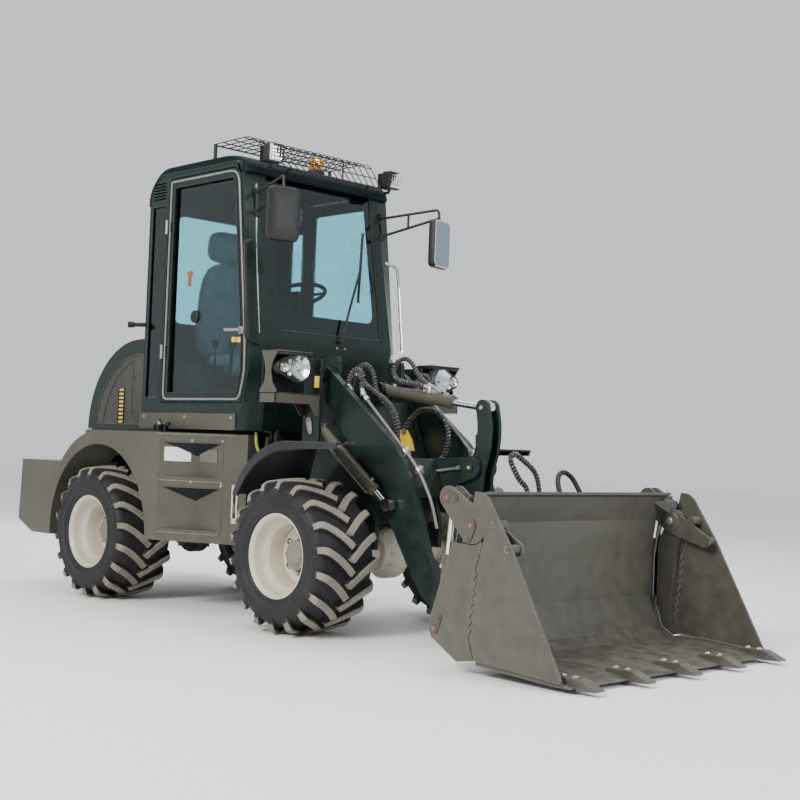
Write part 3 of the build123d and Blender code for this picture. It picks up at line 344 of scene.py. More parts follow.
def fit(piece, body, instead=None):
    """Fixes a finished piece to its CAD body, in the place of the drawn node where one is named."""
    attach(piece, body)
    if instead:
        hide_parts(instead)
    return piece


def mend_normals(bm):
    bmesh.ops.remove_doubles(bm, verts=bm.verts, dist=1e-6)
    bmesh.ops.recalc_face_normals(bm, faces=bm.faces)


def skin(bm, rings, round_shape=True):
    """Quads from each ring of corners to the next, closed round each ring or left open."""
    for here, there in zip(rings, rings[1:]):
        for i in range(len(here) if round_shape else len(here) - 1):
            j = (i + 1) % len(here)
            bm.faces.new((here[i], here[j], there[j], there[i]))


def spin_profile(bm, profile, segments=96, closed=True):
    """Ring of (radius, y) points turned about the Y axis."""
    rings = [[bm.verts.new((radius * math.sin(a), y, radius * math.cos(a))) for radius, y in profile]
             for a in angles(segments)]
    skin(bm, rings + rings[:1], closed)
    mend_normals(bm)


def geometry_tree(name, **inputs):
    """Geometry tree with a mesh and named inputs going in, and a mesh coming out."""
    tree = bpy.data.node_groups.new(name, "GeometryNodeTree")
    for label, kind in {"Geometry": "Geometry", **inputs, "Material": "Material"}.items():
        tree.interface.new_socket(label, in_out="INPUT", socket_type="NodeSocket" + kind)
    tree.interface.new_socket("Geometry", in_out="OUTPUT", socket_type="NodeSocketGeometry")
    return tree


def close_tree(tree, given, shown):
    """Turns the instances into real faces in one material, and puts them out."""
    make, link = tree.nodes.new, tree.links.new
    real, coat = make("GeometryNodeRealizeInstances"), make("GeometryNodeSetMaterial")
    link(shown, real.inputs[0])
    link(real.outputs[0], coat.inputs["Geometry"])
    link(given["Material"], coat.inputs["Material"])
    link(coat.outputs[0], make("NodeGroupOutput").inputs[0])
    return tree


def repeat_tree():
    """Copies of the given mesh, each turned and moved one step further."""
    tree = geometry_tree("Repeat", Count="Int", Turn="Vector", Step="Vector")
    make, link = tree.nodes.new, tree.links.new
    given = make("NodeGroupInput").outputs
    whole = make("GeometryNodeGeometryToInstance")
    copies = make("GeometryNodeDuplicateElements")
    copies.domain = "INSTANCE"
    link(given["Geometry"], whole.inputs[0])
    link(whole.outputs[0], copies.inputs["Geometry"])
    link(given["Count"], copies.inputs["Amount"])
    shown = copies.outputs["Geometry"]
    for kind, socket, inlet in (("Rotate", "Turn", "Rotation"), ("Translate", "Step", "Translation")):
        scaled = make("ShaderNodeVectorMath")
        scaled.operation = "SCALE"
        link(given[socket], scaled.inputs[0])
        link(copies.outputs["Duplicate Index"], scaled.inputs["Scale"])
        node = make(f"GeometryNode{kind}Instances")
        node.inputs["Local Space"].default_value = False
        link(shown, node.inputs["Instances"])
        link(scaled.outputs[0], node.inputs[inlet])
        shown = node.outputs["Instances"]
    return close_tree(tree, given, shown)


repeat = repeat_tree()


def run_tree(piece, tree, **inputs):
    """Runs a node tree on a piece and keeps the plain mesh that it makes."""
    modifier = piece.modifiers.new("tree", "NODES")
    modifier.node_group = tree
    for item in tree.interface.items_tree:
        if item.in_out == "INPUT" and item.name in inputs:
            modifier[item.identifier] = inputs[item.name]
    evaluated = piece.evaluated_get(bpy.context.evaluated_depsgraph_get())
    mesh = bpy.data.meshes.new_from_object(evaluated)
    piece.modifiers.remove(modifier)
    old = piece.data
    piece.data = mesh
    mesh.name = piece.name
    bpy.data.meshes.remove(old)
    return piece


def repeated(piece, count, turn=0.0, step=(0, 0, 0)):
    """The piece and its copies, each turned about the Y axis by an angle and moved by a step."""
    finish = piece.data.materials[0]
    return run_tree(piece, repeat, Count=count, Turn=(0, turn, 0), Step=tuple(step), Material=finish)


def join_pieces(target, *others):
    """Adds other pieces' meshes to a piece, each with its own materials."""
    bm = bmesh.new()
    bm.from_mesh(target.data)
    for other in others:
        shift = len(target.data.materials)
        for material in other.data.materials:
            target.data.materials.append(material)
        start = len(bm.faces)
        bm.from_mesh(other.data)
        bm.faces.ensure_lookup_table()
        for face in bm.faces[start:]:
            face.material_index += shift
        bpy.data.meshes.remove(other.data)
    bm.to_mesh(target.data)
    bm.free()
    return target


def merge(bm, part, matrix=None, material=0):
    """Moves a small bmesh into a larger one."""
    if matrix is not None:
        part.transform(matrix)
    for face in part.faces:
        face.material_index = material
    kept = bpy.data.meshes.new("part")
    part.to_mesh(kept)
    part.free()
    bm.from_mesh(kept)
    bpy.data.meshes.remove(kept)


worn_rubber = finish_material("worn_rubber", (0.205, 0.182, 0.148), 0.8, dust=0.5, wear_and_highlight=0.3, variation=0.3,
                              wear_and_highlight_colour=(0.25, 0.22, 0.18), dust_colour=(0.26, 0.225, 0.175),
                              grain=180, bump=0.3)
LUG_COUNT = 18
LUG_TURN = math.tau / LUG_COUNT
LUG_OVERLAP, LUG_REACH = 0.010, 0.199
LUG_SWEEP, LUG_CURVE = 0.128, 1.45
LUG_TOP, LUG_FOOT, LUG_END_FOOT = 0.3885, 0.338, 0.332
LUG_HALF_TOP, LUG_HALF_FOOT = 0.0168, 0.0238
LUG_DROOP, LUG_CORNER, LUG_CORNER_DEPTH = 0.010, 0.002, 0.008
WRAP_RADIUS = 0.375
LUG_ENDS = {0.0: (0.366, 0.010, 0.0238, 0.338), 0.92: (0.372, 0.0165, 0.023, 0.318),
            1.0: (0.335, 0.016, 0.021, 0.300)}


def tyre_lug(bm, side):
    """Curved tread bar at the top of the wheel, its inner end leading."""
    rings = []
    for share in (0.0, 0.03, 0.18, 0.36, 0.54, 0.70, 0.82, 0.92, 1.0):
        foot = LUG_FOOT if share < 0.8 else LUG_END_FOOT
        usual = (LUG_TOP - LUG_DROOP * share ** 2, LUG_HALF_TOP, LUG_HALF_FOOT, foot)
        top, half_top, half_low, low = LUG_ENDS.get(share, usual)
        lag = LUG_SWEEP * (1 - (1 - share) ** LUG_CURVE)
        slope = LUG_SWEEP * LUG_CURVE * (1 - share) ** (LUG_CURVE - 1) / LUG_REACH
        along = Vector((-slope, 1, 0)).normalized()
        ring = []
        for offset, radius in (
            (-half_low, low),
            (-half_top - LUG_CORNER, top - LUG_CORNER_DEPTH),
            (-half_top + LUG_CORNER, top),
            (half_top - LUG_CORNER, top),
            (half_top + LUG_CORNER, top - LUG_CORNER_DEPTH),
            (half_low, low),
        ):
            angle = (along.y * offset - lag) / WRAP_RADIUS
            width = (LUG_REACH * share - LUG_OVERLAP - along.x * offset) * side
            ring.append(bm.verts.new((radius * math.sin(angle), width, radius * math.cos(angle))))
        rings.append(ring)
    skin(bm, rings)
    for number, face in enumerate(bm.faces):
        face.material_index = 1 if number % 6 in (1, 2, 3) else 0
    bm.faces.new(rings[0])
    bm.faces.new(rings[-1])


def build_tyre(name):
    bm = bmesh.new()
    half = [
        (0.3560, 0.0), (0.3555, 0.060), (0.3530, 0.110), (0.3470, 0.145), (0.3360, 0.168), (0.3200, 0.182),
        (0.3080, 0.1875), (0.3020, 0.1885), (0.3000, 0.1915), (0.2960, 0.1915), (0.2940, 0.1890),
        (0.2700, 0.1900), (0.2500, 0.1885), (0.2480, 0.1905), (0.2440, 0.1905), (0.2420, 0.1875),
        (0.2280, 0.1835), (0.2240, 0.1845), (0.2190, 0.1825), (0.2130, 0.1760), (0.2075, 0.1680),
        (0.1975, 0.1600), (0.1975, 0.100),
    ]
    spin_profile(bm, half + [(radius, -y) for radius, y in reversed(half[1:])], 108)
    parts = [make_object(name, bm, rubber, sharp=50)]
    for finish, wanted in ((rubber, 0), (worn_rubber, 1)):
        bars = bmesh.new()
        for side, shift in ((1, 0.0), (-1, 0.5)):
            one = bmesh.new()
            tyre_lug(one, side)
            bmesh.ops.rotate(one, verts=one.verts, matrix=Matrix.Rotation(LUG_TURN * shift, 3, "Y"))
            mend_normals(one)
            hidden = [face for face in one.faces if face.material_index != wanted]
            bmesh.ops.delete(one, geom=hidden, context="FACES")
            merge(bars, one)
        parts.append(repeated(make_object(name + "_lugs", bars, finish, sharp=20), LUG_COUNT, LUG_TURN))
    tyre = join_pieces(*parts)
    closed = bmesh.new()
    closed.from_mesh(tyre.data)
    bmesh.ops.remove_doubles(closed, verts=closed.verts, dist=1e-5)
    closed.to_mesh(tyre.data)
    closed.free()
    return tyre


def mirror_sides(bm):
    bmesh.ops.scale(bm, verts=bm.verts, vec=(1, -1, 1))
    bmesh.ops.reverse_faces(bm, faces=bm.faces)


WHEEL_MIDDLE = 0.592


def wheel_copies(pattern, piece_name, instead):
    """Copies of a left-hand wheel part at each wheel's centre, mirrored for the right."""
    for end in ("rear", "front"):
        for side in ("left", "right"):
            low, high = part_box(f"rim_{end}_{side}")
            middle = (Vector(low) + Vector(high)) / 2
            bm = bmesh.new()
            bm.from_mesh(pattern.data)
            if side == "right":
                mirror_sides(bm)
            centre = (middle.x, WHEEL_MIDDLE if side == "left" else -WHEEL_MIDDLE, middle.z)
            bmesh.ops.translate(bm, verts=bm.verts, vec=centre)
            mesh = bpy.data.meshes.new(f"{piece_name}_{end}_{side}")
            bm.to_mesh(mesh)
            bm.free()
            for material in pattern.data.materials:
                mesh.materials.append(material)
            copy = bpy.data.objects.new(mesh.name, mesh)
            bpy.context.collection.objects.link(copy)
            fit(copy, f"wheel_{end}_{side}", f"{instead}_{end}_{side}")
    bpy.data.objects.remove(pattern)


wheel_copies(build_tyre("pattern_tyre"), "lug_tyre", "tyre")


# ------------------------------------------------------------------ wheel discs
# Two-piece pressed steel wheels in cream enamel: a stepped barrel, a deep disc
# with hand holes, and a cast hub in grey with eight nuts.
grey_hub = finish_material("grey_hub", (0.15, 0.145, 0.12), dust=0.4, wear_and_highlight=0.3, variation=0.15, bump=0.1)
shadow_paint = finish_material("shadow_paint", (0.02, 0.02, 0.02), 0.8, dust=0.2, wear_and_highlight=0.0)
bare_steel = finish_material("bare_steel", (0.42, 0.41, 0.39), 0.38, metallic=0.9, wear_and_highlight=0.2,
                             variation=0.15, bump=0.06)
barrel_profile = [
    (0.2115, 0.1740), (0.2130, 0.1700), (0.2110, 0.1640), (0.2050, 0.1600), (0.2000, 0.1560),
    (0.1960, 0.1500), (0.1960, 0.1180), (0.1900, 0.1080), (0.1880, 0.1000), (0.1660, 0.0860),
    (0.1620, 0.0780), (0.1600, 0.0400), (0.1600, -0.0600), (0.1700, -0.0800), (0.1960, -0.1100),
    (0.1960, -0.1560), (0.2110, -0.1720), (0.2050, -0.1720), (0.1900, -0.1560), (0.1890, -0.1120),
    (0.1640, -0.0840), (0.1530, -0.0620), (0.1530, 0.0440), (0.1560, 0.0800), (0.1590, 0.0900),
    (0.1820, 0.1060), (0.1840, 0.1120), (0.1890, 0.1200), (0.1890, 0.1540), (0.1930, 0.1620),
    (0.2000, 0.1680), (0.2050, 0.1740),
]
disc_profile = [(0.154, -0.020), (0.154, -0.006), (0.150, -0.001), (0.138, 0.001), (0.128, -0.004),
                (0.112, -0.006), (0.104, 0.004), (0.096, 0.010), (0.084, 0.010)]
disc_back = [(0.070, -0.004), (0.090, -0.020)]
hub_profile = [(0.084, 0.010), (0.078, 0.014), (0.078, 0.036), (0.074, 0.044), (0.052, 0.047), (0.048, 0.052),
               (0.030, 0.056), (0.0, 0.057), (0.0, -0.004), (0.070, -0.004)]
nut_profile = [(0.0, 0.062), (0.0065, 0.062), (0.0105, 0.058), (0.0125, 0.046), (0.0125, 0.034), (0.0, 0.034)]


def build_wheel_disc(name):
    bm = bmesh.new()
    spin_profile(bm, barrel_profile)
    spin_profile(bm, disc_profile + disc_back)
    steel = make_object(name, bm, cream_paint, sharp=40)
    bm = bmesh.new()
    spin_profile(bm, hub_profile, 48)
    hub = make_object(name + "_hub", bm, grey_hub, sharp=30)
    bm = bmesh.new()
    spin_profile(bm, nut_profile, 6, closed=False)
    bmesh.ops.translate(bm, verts=bm.verts, vec=(0.0, -0.026, 0.089))
    nuts = repeated(make_object(name + "_nuts", bm, bare_steel, smooth=False), 8, math.tau / 8)
    bm = bmesh.new()
    hole = [(0.017 * math.sin(a), 0.0022, 0.122 + 0.011 * math.cos(a)) for a in angles(16)]
    bm.faces.new([bm.verts.new(place) for place in hole])
    mend_normals(bm)
    for face in bm.faces:
        if face.normal.y < 0:
            face.normal_flip()
    holes = repeated(make_object(name + "_holes", bm, shadow_paint, smooth=False), 6, math.tau / 6)
    return join_pieces(steel, hub, nuts, holes)


wheel_copies(build_wheel_disc("pattern_disc"), "wheel_disc", "rim")


# ------------------------------------------------------------------ axles
# Cast axle housings, cream in front; the rear one is near black, partly its own
# black paint and partly painted shade. Each has a ring of cap screws on each side of the middle.
def placed(point):
    """Point in the frame: a vector is there already, and a triple is in the drawing's millimetres."""
    return point if isinstance(point, Vector) else spot(*point)


def fastener_tree():
    """Hexagon or round heads with washers on the given points, facing their normals."""
    tree = geometry_tree("Fasteners", Radius="Float", Height="Float", Sides="Int")
    make, link = tree.nodes.new, tree.links.new
    given = make("NodeGroupInput").outputs
    shapes = make("GeometryNodeJoinGeometry")
    for sides, low, high, depth in ((None, 1.0, 0.86, 1.0), (16, 1.35, 1.3, 0.3)):
        head = make("GeometryNodeMeshCone")
        if sides is None:
            link(given["Sides"], head.inputs["Vertices"])
        else:
            head.inputs["Vertices"].default_value = sides
        for source, factor, inlet in (("Radius", low, "Radius Bottom"), ("Radius", high, "Radius Top"),
                                      ("Height", depth, "Depth")):
            scaled = make("ShaderNodeMath")
            scaled.operation = "MULTIPLY"
            scaled.inputs[1].default_value = factor
            link(given[source], scaled.inputs[0])
            link(scaled.outputs[0], head.inputs[inlet])
        link(head.outputs["Mesh"], shapes.inputs[0])
    facing = make("GeometryNodeInputNamedAttribute")
    facing.data_type = "FLOAT_VECTOR"
    facing.inputs["Name"].default_value = "facing"
    align = make("FunctionNodeAlignRotationToVector")
    align.axis = "Z"
    link(facing.outputs[0], align.inputs["Vector"])
    place = make("GeometryNodeInstanceOnPoints")
    link(given["Geometry"], place.inputs["Points"])
    link(shapes.outputs[0], place.inputs["Instance"])
    link(align.outputs[0], place.inputs["Rotation"])
    return close_tree(tree, given, place.outputs[0])


fasteners = fastener_tree()


def bolt_heads(name, body, spots, radius, height, material, sides=6):
    """Row of heads, each given by its place and the way that it faces."""
    mesh = bpy.data.meshes.new(name)
    mesh.from_pydata([placed(place) for place, _ in spots], [], [])
    facing = mesh.attributes.new("facing", "FLOAT_VECTOR", "POINT")
    for i, (_, way) in enumerate(spots):
        facing.data[i].vector = way
    piece = bpy.data.objects.new(name, mesh)
    bpy.context.collection.objects.link(piece)
    run_tree(piece, fasteners, Radius=radius, Height=height, Sides=sides, Material=material)
    return fit(piece, body)


black_iron_with_painted_shade = finish_material("black_iron_with_painted_shade", (0.014, 0.014, 0.015), 0.5, dust=0.35, wear_and_highlight=0.3, variation=0.2,
                             grain=160, bump=0.2)
# The rear axle's near black is partly its own black paint and partly painted shade for the shadow under the
# machine.
frame["nodes"]["rear_axle"].data.materials[0] = black_iron_with_painted_shade
SCREW_RING, SCREW_FACE = 0.118, 0.069
for end, body, finish in (("front", "front_frame", cream_paint), ("rear", "frame", black_iron_with_painted_shade)):
    low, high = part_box(f"{end}_axle")
    middle = (Vector(low) + Vector(high)) / 2
    ring = [(middle + Vector((SCREW_RING * math.cos(a), side * SCREW_FACE, SCREW_RING * math.sin(a))),
             (0.0, side, 0.0)) for side in (-1, 1) for a in angles(12)]
    bolt_heads(f"axle_screws_{end}", body, ring, 0.0065, 0.008, finish)


# ------------------------------------------------------------------ counterweight
# Cast block in olive enamel with a cover plate, lifting eyes and tail lamps;
# a steel drop pin with a ring handle stands in its tow bore.
def fitted(name, bm, body, slot, *materials, instead=None, smooth=True, sharp=35):
    """Piece from a finished bmesh, fixed to its body."""
    return fit(make_object(name, bm, *materials, smooth=smooth, sharp=sharp), body, instead)


def block_into(bm, one_corner, other_corner, bevel=0.003, segments=2, material=0):
    """Box with rounded edges between two opposite corners."""
    part = bmesh.new()
    bmesh.ops.create_cube(part, size=1)
    one_corner, other_corner = placed(one_corner), placed(other_corner)
    low = [min(pair) for pair in zip(one_corner, other_corner)]
    high = [max(pair) for pair in zip(one_corner, other_corner)]
    for vert in part.verts:
        vert.co = Vector((low[i] + (vert.co[i] + 0.5) * (high[i] - low[i]) for i in range(3)))
    bmesh.ops.bevel(part, geom=part.edges[:], offset=bevel, segments=segments, affect="EDGES", profile=0.5)
    mend_normals(part)
    merge(bm, part, None, material)


def tube_into(bm, points, radius, sides=10, material=0, closed=False):
    """Round tube along a path, capped at its ends; a list of radii makes it taper."""
    points = [placed(point) for point in points]
    part = bmesh.new()
    count = len(points)
    normal = None
    rings = []
    for i, point in enumerate(points):
        if closed:
            along = (points[(i + 1) % count] - points[i - 1]).normalized()
        else:
            along = (points[min(i + 1, count - 1)] - points[max(i - 1, 0)]).normalized()
        if normal is None:
            normal = along.orthogonal().normalized()
        normal = (normal - along * normal.dot(along)).normalized()
        side = along.cross(normal)
        thick = radius[i] if isinstance(radius, (list, tuple)) else radius
        rings.append([part.verts.new(point + (normal * math.cos(a) + side * math.sin(a)) * thick)
                      for a in angles(sides)])
    skin(part, rings + rings[:1] if closed else rings)
    if not closed:
        part.faces.new(rings[0])
        part.faces.new(rings[-1])
    bmesh.ops.recalc_face_normals(part, faces=part.faces)
    merge(bm, part, None, material)


red_lens = finish_material("red_lens", (0.45, 0.012, 0.010), 0.2, coat=0.8, dust=0.1, wear_and_highlight=0.0)
orange_lens = finish_material("orange_lens", (0.75, 0.20, 0.01), 0.2, coat=0.8, dust=0.1, wear_and_highlight=0.0)
TOW_X = -850
RING_HEIGHT, RING_RADIUS = 662, 26
bm = bmesh.new()
tube_into(bm, [(TOW_X, 0, 424), (TOW_X, 0, 600)], 0.0155, 20)
tube_into(bm, [(TOW_X, 0, 600), (TOW_X, 0, 640)], 0.008, 12)
ring = [(TOW_X + RING_RADIUS * math.cos(a), 0, RING_HEIGHT + RING_RADIUS * math.sin(a)) for a in angles(20)]
tube_into(bm, ring, 0.0045, 8, closed=True)
fitted("tow_pin", bm, "frame", "chrome", bare_steel)

LAMP_Y = 600
bm = bmesh.new()
for y in (-LAMP_Y, LAMP_Y):
    block_into(bm, (-903, y - 62, 690), (-878, y + 62, 752), 0.006)
    for colour, shift in ((1, -30), (2, 30)):
        block_into(bm, (-905, y + shift - 26, 696), (-902, y + shift + 26, 746), 0.001, material=colour)
fitted("tail_lamps", bm, "frame", "black_plastic", black_plastic, red_lens, orange_lens)
BOLT_HEIGHT = 735
bolt_x = -905 + (BOLT_HEIGHT - 410) * 20 / 380  # on the back, which leans forward as it rises
heads = [((bolt_x, y, BOLT_HEIGHT), (-1.0, 0.0, 0.05)) for y in (-420, 420)]
bolt_heads("counterweight_bolts", "frame", heads, 0.016, 0.012, olive_paint)


# ------------------------------------------------------------------ side boxes
# Welded olive boxes over the rear wheels: a folded lip along the top, stitch
# welds round each step, blank plates and a sight gauge in a cream guard. A
# near-black sheet of painted shade lines the sloping roof of each step pocket.
def stitch_row(name, body, start, end, pitch, size, material):
    """Short weld stitches from start to end."""
    count = max(1, int((end - start).length / pitch))
    along = (end - start).normalized()
    bm = bmesh.new()
    bmesh.ops.create_uvsphere(bm, u_segments=8, v_segments=5, radius=size)
    turn = Vector((1, 0, 0)).rotation_difference(along).to_matrix().to_4x4()
    bm.transform(Matrix.Translation(start) @ turn @ Matrix.Diagonal((pitch / size * 0.42, 1, 1, 1)))
    step = along * (end - start).length / count
    return fit(repeated(make_object(name, bm, material), count, step=step), body)


def loft_into(bm, rings, material=0, bevel=0.0):
    """Solid over rings with the same number of points, closed by a face at both ends."""
    part = bmesh.new()
    rings = [[part.verts.new(placed(point)) for point in ring] for ring in rings]
    part.faces.new(rings[0])
    part.faces.new(rings[-1])
    skin(part, rings)
    mend_normals(part)
    if bevel:
        bmesh.ops.bevel(part, geom=part.edges[:], offset=bevel, segments=2, affect="EDGES", profile=0.5,
                        clamp_overlap=True)
    merge(bm, part, None, material)


def corner_arc(before, corner, after, bend, steps):
    """Short arc that takes the place of a corner."""
    arriving, leaving = before - corner, after - corner
    cut = min(bend, arriving.length * 0.45, leaving.length * 0.45)
    first, last = corner + arriving.normalized() * cut, corner + leaving.normalized() * cut
    shares = [i / steps for i in range(steps + 1)]
    return [first.lerp(corner, t).lerp(corner.lerp(last, t), t) for t in shares]


def rounded_path(points, bend, steps=5):
    """Straight runs with each corner turned into a short arc."""
    points = [placed(point) for point in points]
    path = [points[0]]
    for before, corner, after in zip(points, points[1:], points[2:]):
        path += corner_arc(before, corner, after, bend, steps)
    return path + points[-1:]


stitch_steel = finish_material("stitch_steel", (0.20, 0.19, 0.165), 0.4, metallic=0.2, dust=0.2, wear_and_highlight=0.2)
white_plate = finish_material("white_plate", (0.68, 0.70, 0.74), 0.4, dust=0.15, wear_and_highlight=0.1,
                              variation=0.08, bump=0.02)
grey_plate = finish_material("grey_plate", (0.105, 0.102, 0.092), dust=0.2, wear_and_highlight=0.1,
                             variation=0.1, bump=0.02)
painted_step_shade = finish_material("painted_step_shade", (0.006, 0.009, 0.010), 0.6, dust=0.1, wear_and_highlight=0.0, specular=0.2)
FACE_START = (610, 720)
front_way = Vector((502, -242, 0)).normalized()
out_way = Vector((242, 502, 0)).normalized()
STEP_MIDDLE, STEP_HALF, STEP_DEPTH = 216, 184, 66
STEP_TOPS = (938, 689)
GAUGE = 492
LIP_Z = 955
lip = [(-150, 716), (608, 716), (1108, 475)]

for name, side in (("left", 1), ("right", -1)):
    def face(along, out, z):
        """Point on the slanting step face, in millimetres along it, out from it and up."""
        x = FACE_START[0] + front_way.x * along + out_way.x * out
        y = FACE_START[1] + front_way.y * along + out_way.y * out
        return spot(x, side * y, z)

    def pocket_wall(along, z, proud=0.0):
        """Point on the folded back wall of a step, a little proud of it."""
        depth = STEP_DEPTH * (1 - abs(along - STEP_MIDDLE) / STEP_HALF)
        return face(along, proud - depth, z)

    bm = bmesh.new()
    for (x0, y0), (x1, y1) in zip(lip, lip[1:]):
        way = Vector((x1 - x0, y1 - y0, 0)).normalized()
        section = [Vector((-way.y * depth, side * way.x * depth, z))
                   for depth, z in ((0.0045, 0.030), (0.0045, -0.004), (0.0, -0.004), (0.0, 0.030))]
        ends = (spot(x0, side * y0, LIP_Z), spot(x1, side * y1, LIP_Z))
        loft_into(bm, [[end + corner for corner in section] for end in ends])
    for top in STEP_TOPS:
        tube_into(bm, [face(24, 1.5, top - 4), face(408, 1.5, top - 4)], 0.0022, 8)
    for along, out, top in ((20, 0.4, 952), (412, 0.4, 952), (STEP_MIDDLE, 0.2, 452)):
        tube_into(bm, [face(along, out, 420), face(along, out, top)], 0.0016, 6)
    fitted(f"box_seams_{name}", bm, "frame", "trim_paint", olive_paint)
    for label, start, end, out, z, pitch, size in (
        ("step_weld_upper", 26, 404, 1.0, 720, 0.016, 0.0045),
        ("step_weld_lower", 26, 404, 1.0, 432, 0.016, 0.0045),
        ("lid_weld", 4, 548, 2.0, 978, 0.018, 0.0042),
    ):
        stitch_row(f"{label}_{name}", "frame", face(start, out, z), face(end, out, z), pitch, size,
                   stitch_steel)

    bm = bmesh.new()
    for material, (near, far, low, high) in enumerate(((44, 184, 828, 906), (240, 368, 828, 898))):
        plate = ((near, low), (far, low), (far, high), (near, high))
        loft_into(bm, [[pocket_wall(a, z, proud) for a, z in plate] for proud in (1.2, 2.6)], material)
    fitted(f"blank_plates_{name}", bm, "frame", "trim_paint", white_plate, grey_plate, smooth=False)

    # Near-black sheet over each step pocket's sloping roof: painted shade under the overhang.
    bm = bmesh.new()
    for top in STEP_TOPS:
        loft_into(bm, [[face(34, -1, top - lower), face(398, -1, top - lower),
                        pocket_wall(STEP_MIDDLE, top - 76 - lower, 1.0)] for lower in (1.0, 3.0)])
    fitted(f"step_roof_painted_shade_{name}", bm, "frame", "trim_paint", painted_step_shade, smooth=False)

    bm = bmesh.new()
    for a, b, low, high in ((-18, -9, 500, 712), (9, 18, 500, 712), (-18, 18, 500, 530), (-18, 18, 688, 712)):
        bar = ((GAUGE + a, low), (GAUGE + b, low), (GAUGE + b, high), (GAUGE + a, high))
        loft_into(bm, [[face(along, out, z) for along, z in bar] for out in (0, 7)])
    for low, high, radius, material in ((528, 690, 0.0055, 1), (560, 610, 0.0062, 2)):
        tube_into(bm, [face(GAUGE, 3, low), face(GAUGE, 3, high)], radius, 12, material=material)
    fitted(f"sight_gauge_{name}", bm, "frame", "rim_paint", cream_paint, black_plastic, grey_plate)
    heads = [(GAUGE, 7, 514), (GAUGE, 7, 700), (216, 0, 946), (404, 0, 946), (216, 0, 716), (404, 0, 700),
             (404, 0, 716)]
    way = Vector((out_way.x, side * out_way.y, 0))
    bolt_heads(f"box_bolts_{name}", "frame", [(face(*head), way) for head in heads], 0.005, 0.003, bare_steel)

TANK_TOP = 986
bm = bmesh.new()
for x, y, tall in ((452, -640, 36), (477, -610, 30), (502, -648, 30), (524, -618, 34), (490, -585, 44)):
    top = TANK_TOP + tall
    tube_into(bm, [(x, y, TANK_TOP), (x, y, top)], 0.011, 12)
    elbow = [(x, y, top - 8), (x, y, top + 8), (x + 22, y + 8, top + 10)]
    tube_into(bm, rounded_path(elbow, 0.008), 0.008, 10)
block_into(bm, (437, -665, 984), (542, -570, 994), 0.002)
tube_into(bm, [(482, -625, 1020), (484, -625, 1052)], 0.014, 14, material=1)
tube_into(bm, [(482, -625, 1046), (504, -640, 1058)], 0.008, 10)
fitted("tank_fittings", bm, "frame", "black_plastic", black_plastic, bare_steel)


# ------------------------------------------------------------------ hood
# Pressed steel hood in gloss green. Each side has a bolted-on panel of rough
# grey sheet with a beaded border, and a ladder slot with yellow rungs.
def arc_points(start, through, end, count=24):
    """Points on the circle arc through three X-Z points."""
    (ax, az), (bx, bz), (cx, cz) = start, through, end
    d = 2 * (ax * (bz - cz) + bx * (cz - az) + cx * (az - bz))
    a_square, b_square, c_square = ax * ax + az * az, bx * bx + bz * bz, cx * cx + cz * cz
    ux = (a_square * (bz - cz) + b_square * (cz - az) + c_square * (az - bz)) / d
    uz = (a_square * (cx - bx) + b_square * (ax - cx) + c_square * (bx - ax)) / d
    radius = math.dist((ax, az), (ux, uz))
    first, mid, last = (math.atan2(z - uz, x - ux) for x, z in (start, through, end))
    sweep = (last - first) % math.tau
    if (mid - first) % math.tau > sweep:
        sweep -= math.tau
    turns = [first + sweep * i / count for i in range(count + 1)]
    return [(ux + radius * math.cos(turn), uz + radius * math.sin(turn)) for turn in turns]


def upright_line(y, outline):
    """X-Z points stood up at one Y."""
    return [(x, y, z) for x, z in outline]


def prism_into(bm, outline, one_face, other_face, bevel=0.0, material=0):
    """Plate with an X-Z outline between two Y values."""
    loft_into(bm, [upright_line(y, outline) for y in sorted((one_face, other_face))], material, bevel)


rough_sheet = finish_material("rough_sheet", (0.030, 0.031, 0.027), 0.55, wear_and_highlight=0.15, variation=0.25,
                              grain=120, bump=0.45)
yellow_bar = finish_material("yellow_bar", (0.62, 0.42, 0.06), dust=0.15, wear_and_highlight=0.2)
PANEL_FACE = 427.5
panel_arc = ((-60, 1460), (-383, 1313), (-518, 1032))
panel = [(60, 1032), (60, 1468)] + arc_points(*panel_arc)
for name, side in (("left", 1), ("right", -1)):
    face = side * PANEL_FACE
    bm = bmesh.new()
    prism_into(bm, panel, side * 417.5, side * 426.2)
    tube_into(bm, upright_line(face, panel), 0.0045, 8, closed=True)
    inner_bead = arc_points((-120, 1424), (-335, 1270), (-430, 1040))
    tube_into(bm, upright_line(face, inner_bead), 0.0035, 8)
    corner_bead = upright_line(face, [(-120, 1424), (-120, 1080), (30, 1080)])
    tube_into(bm, rounded_path(corner_bead, 0.02), 0.0035, 8)
    block_into(bm, (-258, face, 1034), (-206, face - side * 2, 1252), 0.001, material=1)
    for x in (-262, -202):
        tube_into(bm, [(x, face + side, 1034), (x, face + side, 1256)], 0.004, 8, material=1)
    fitted(f"hood_panel_{name}", bm, "hood", "black_plastic", rough_sheet, black_plastic,
           instead="hood_side_panels" if side == 1 else None)
    bm = bmesh.new()
    block_into(bm, (-256, side * 424, 1040), (-208, side * 430, 1054), 0.002)
    rungs = make_object(f"ladder_rungs_{name}", bm, yellow_bar)
    fit(repeated(rungs, 9, step=(0, 0, 0.0245)), "hood")
    rivets = [(40, z) for z in range(1060, 1461, 80)] + [(-100, z) for z in range(1110, 1400, 70)]
    rivets += [(x + 14, z - 10) for x, z in arc_points(*panel_arc)[2:-1:3]]
    heads = [((x, side * 427, z), (0, side, 0)) for x, z in rivets]
    bolt_heads(f"hood_rivets_{name}", "hood", heads, 0.0045, 0.003, rough_sheet, 10)

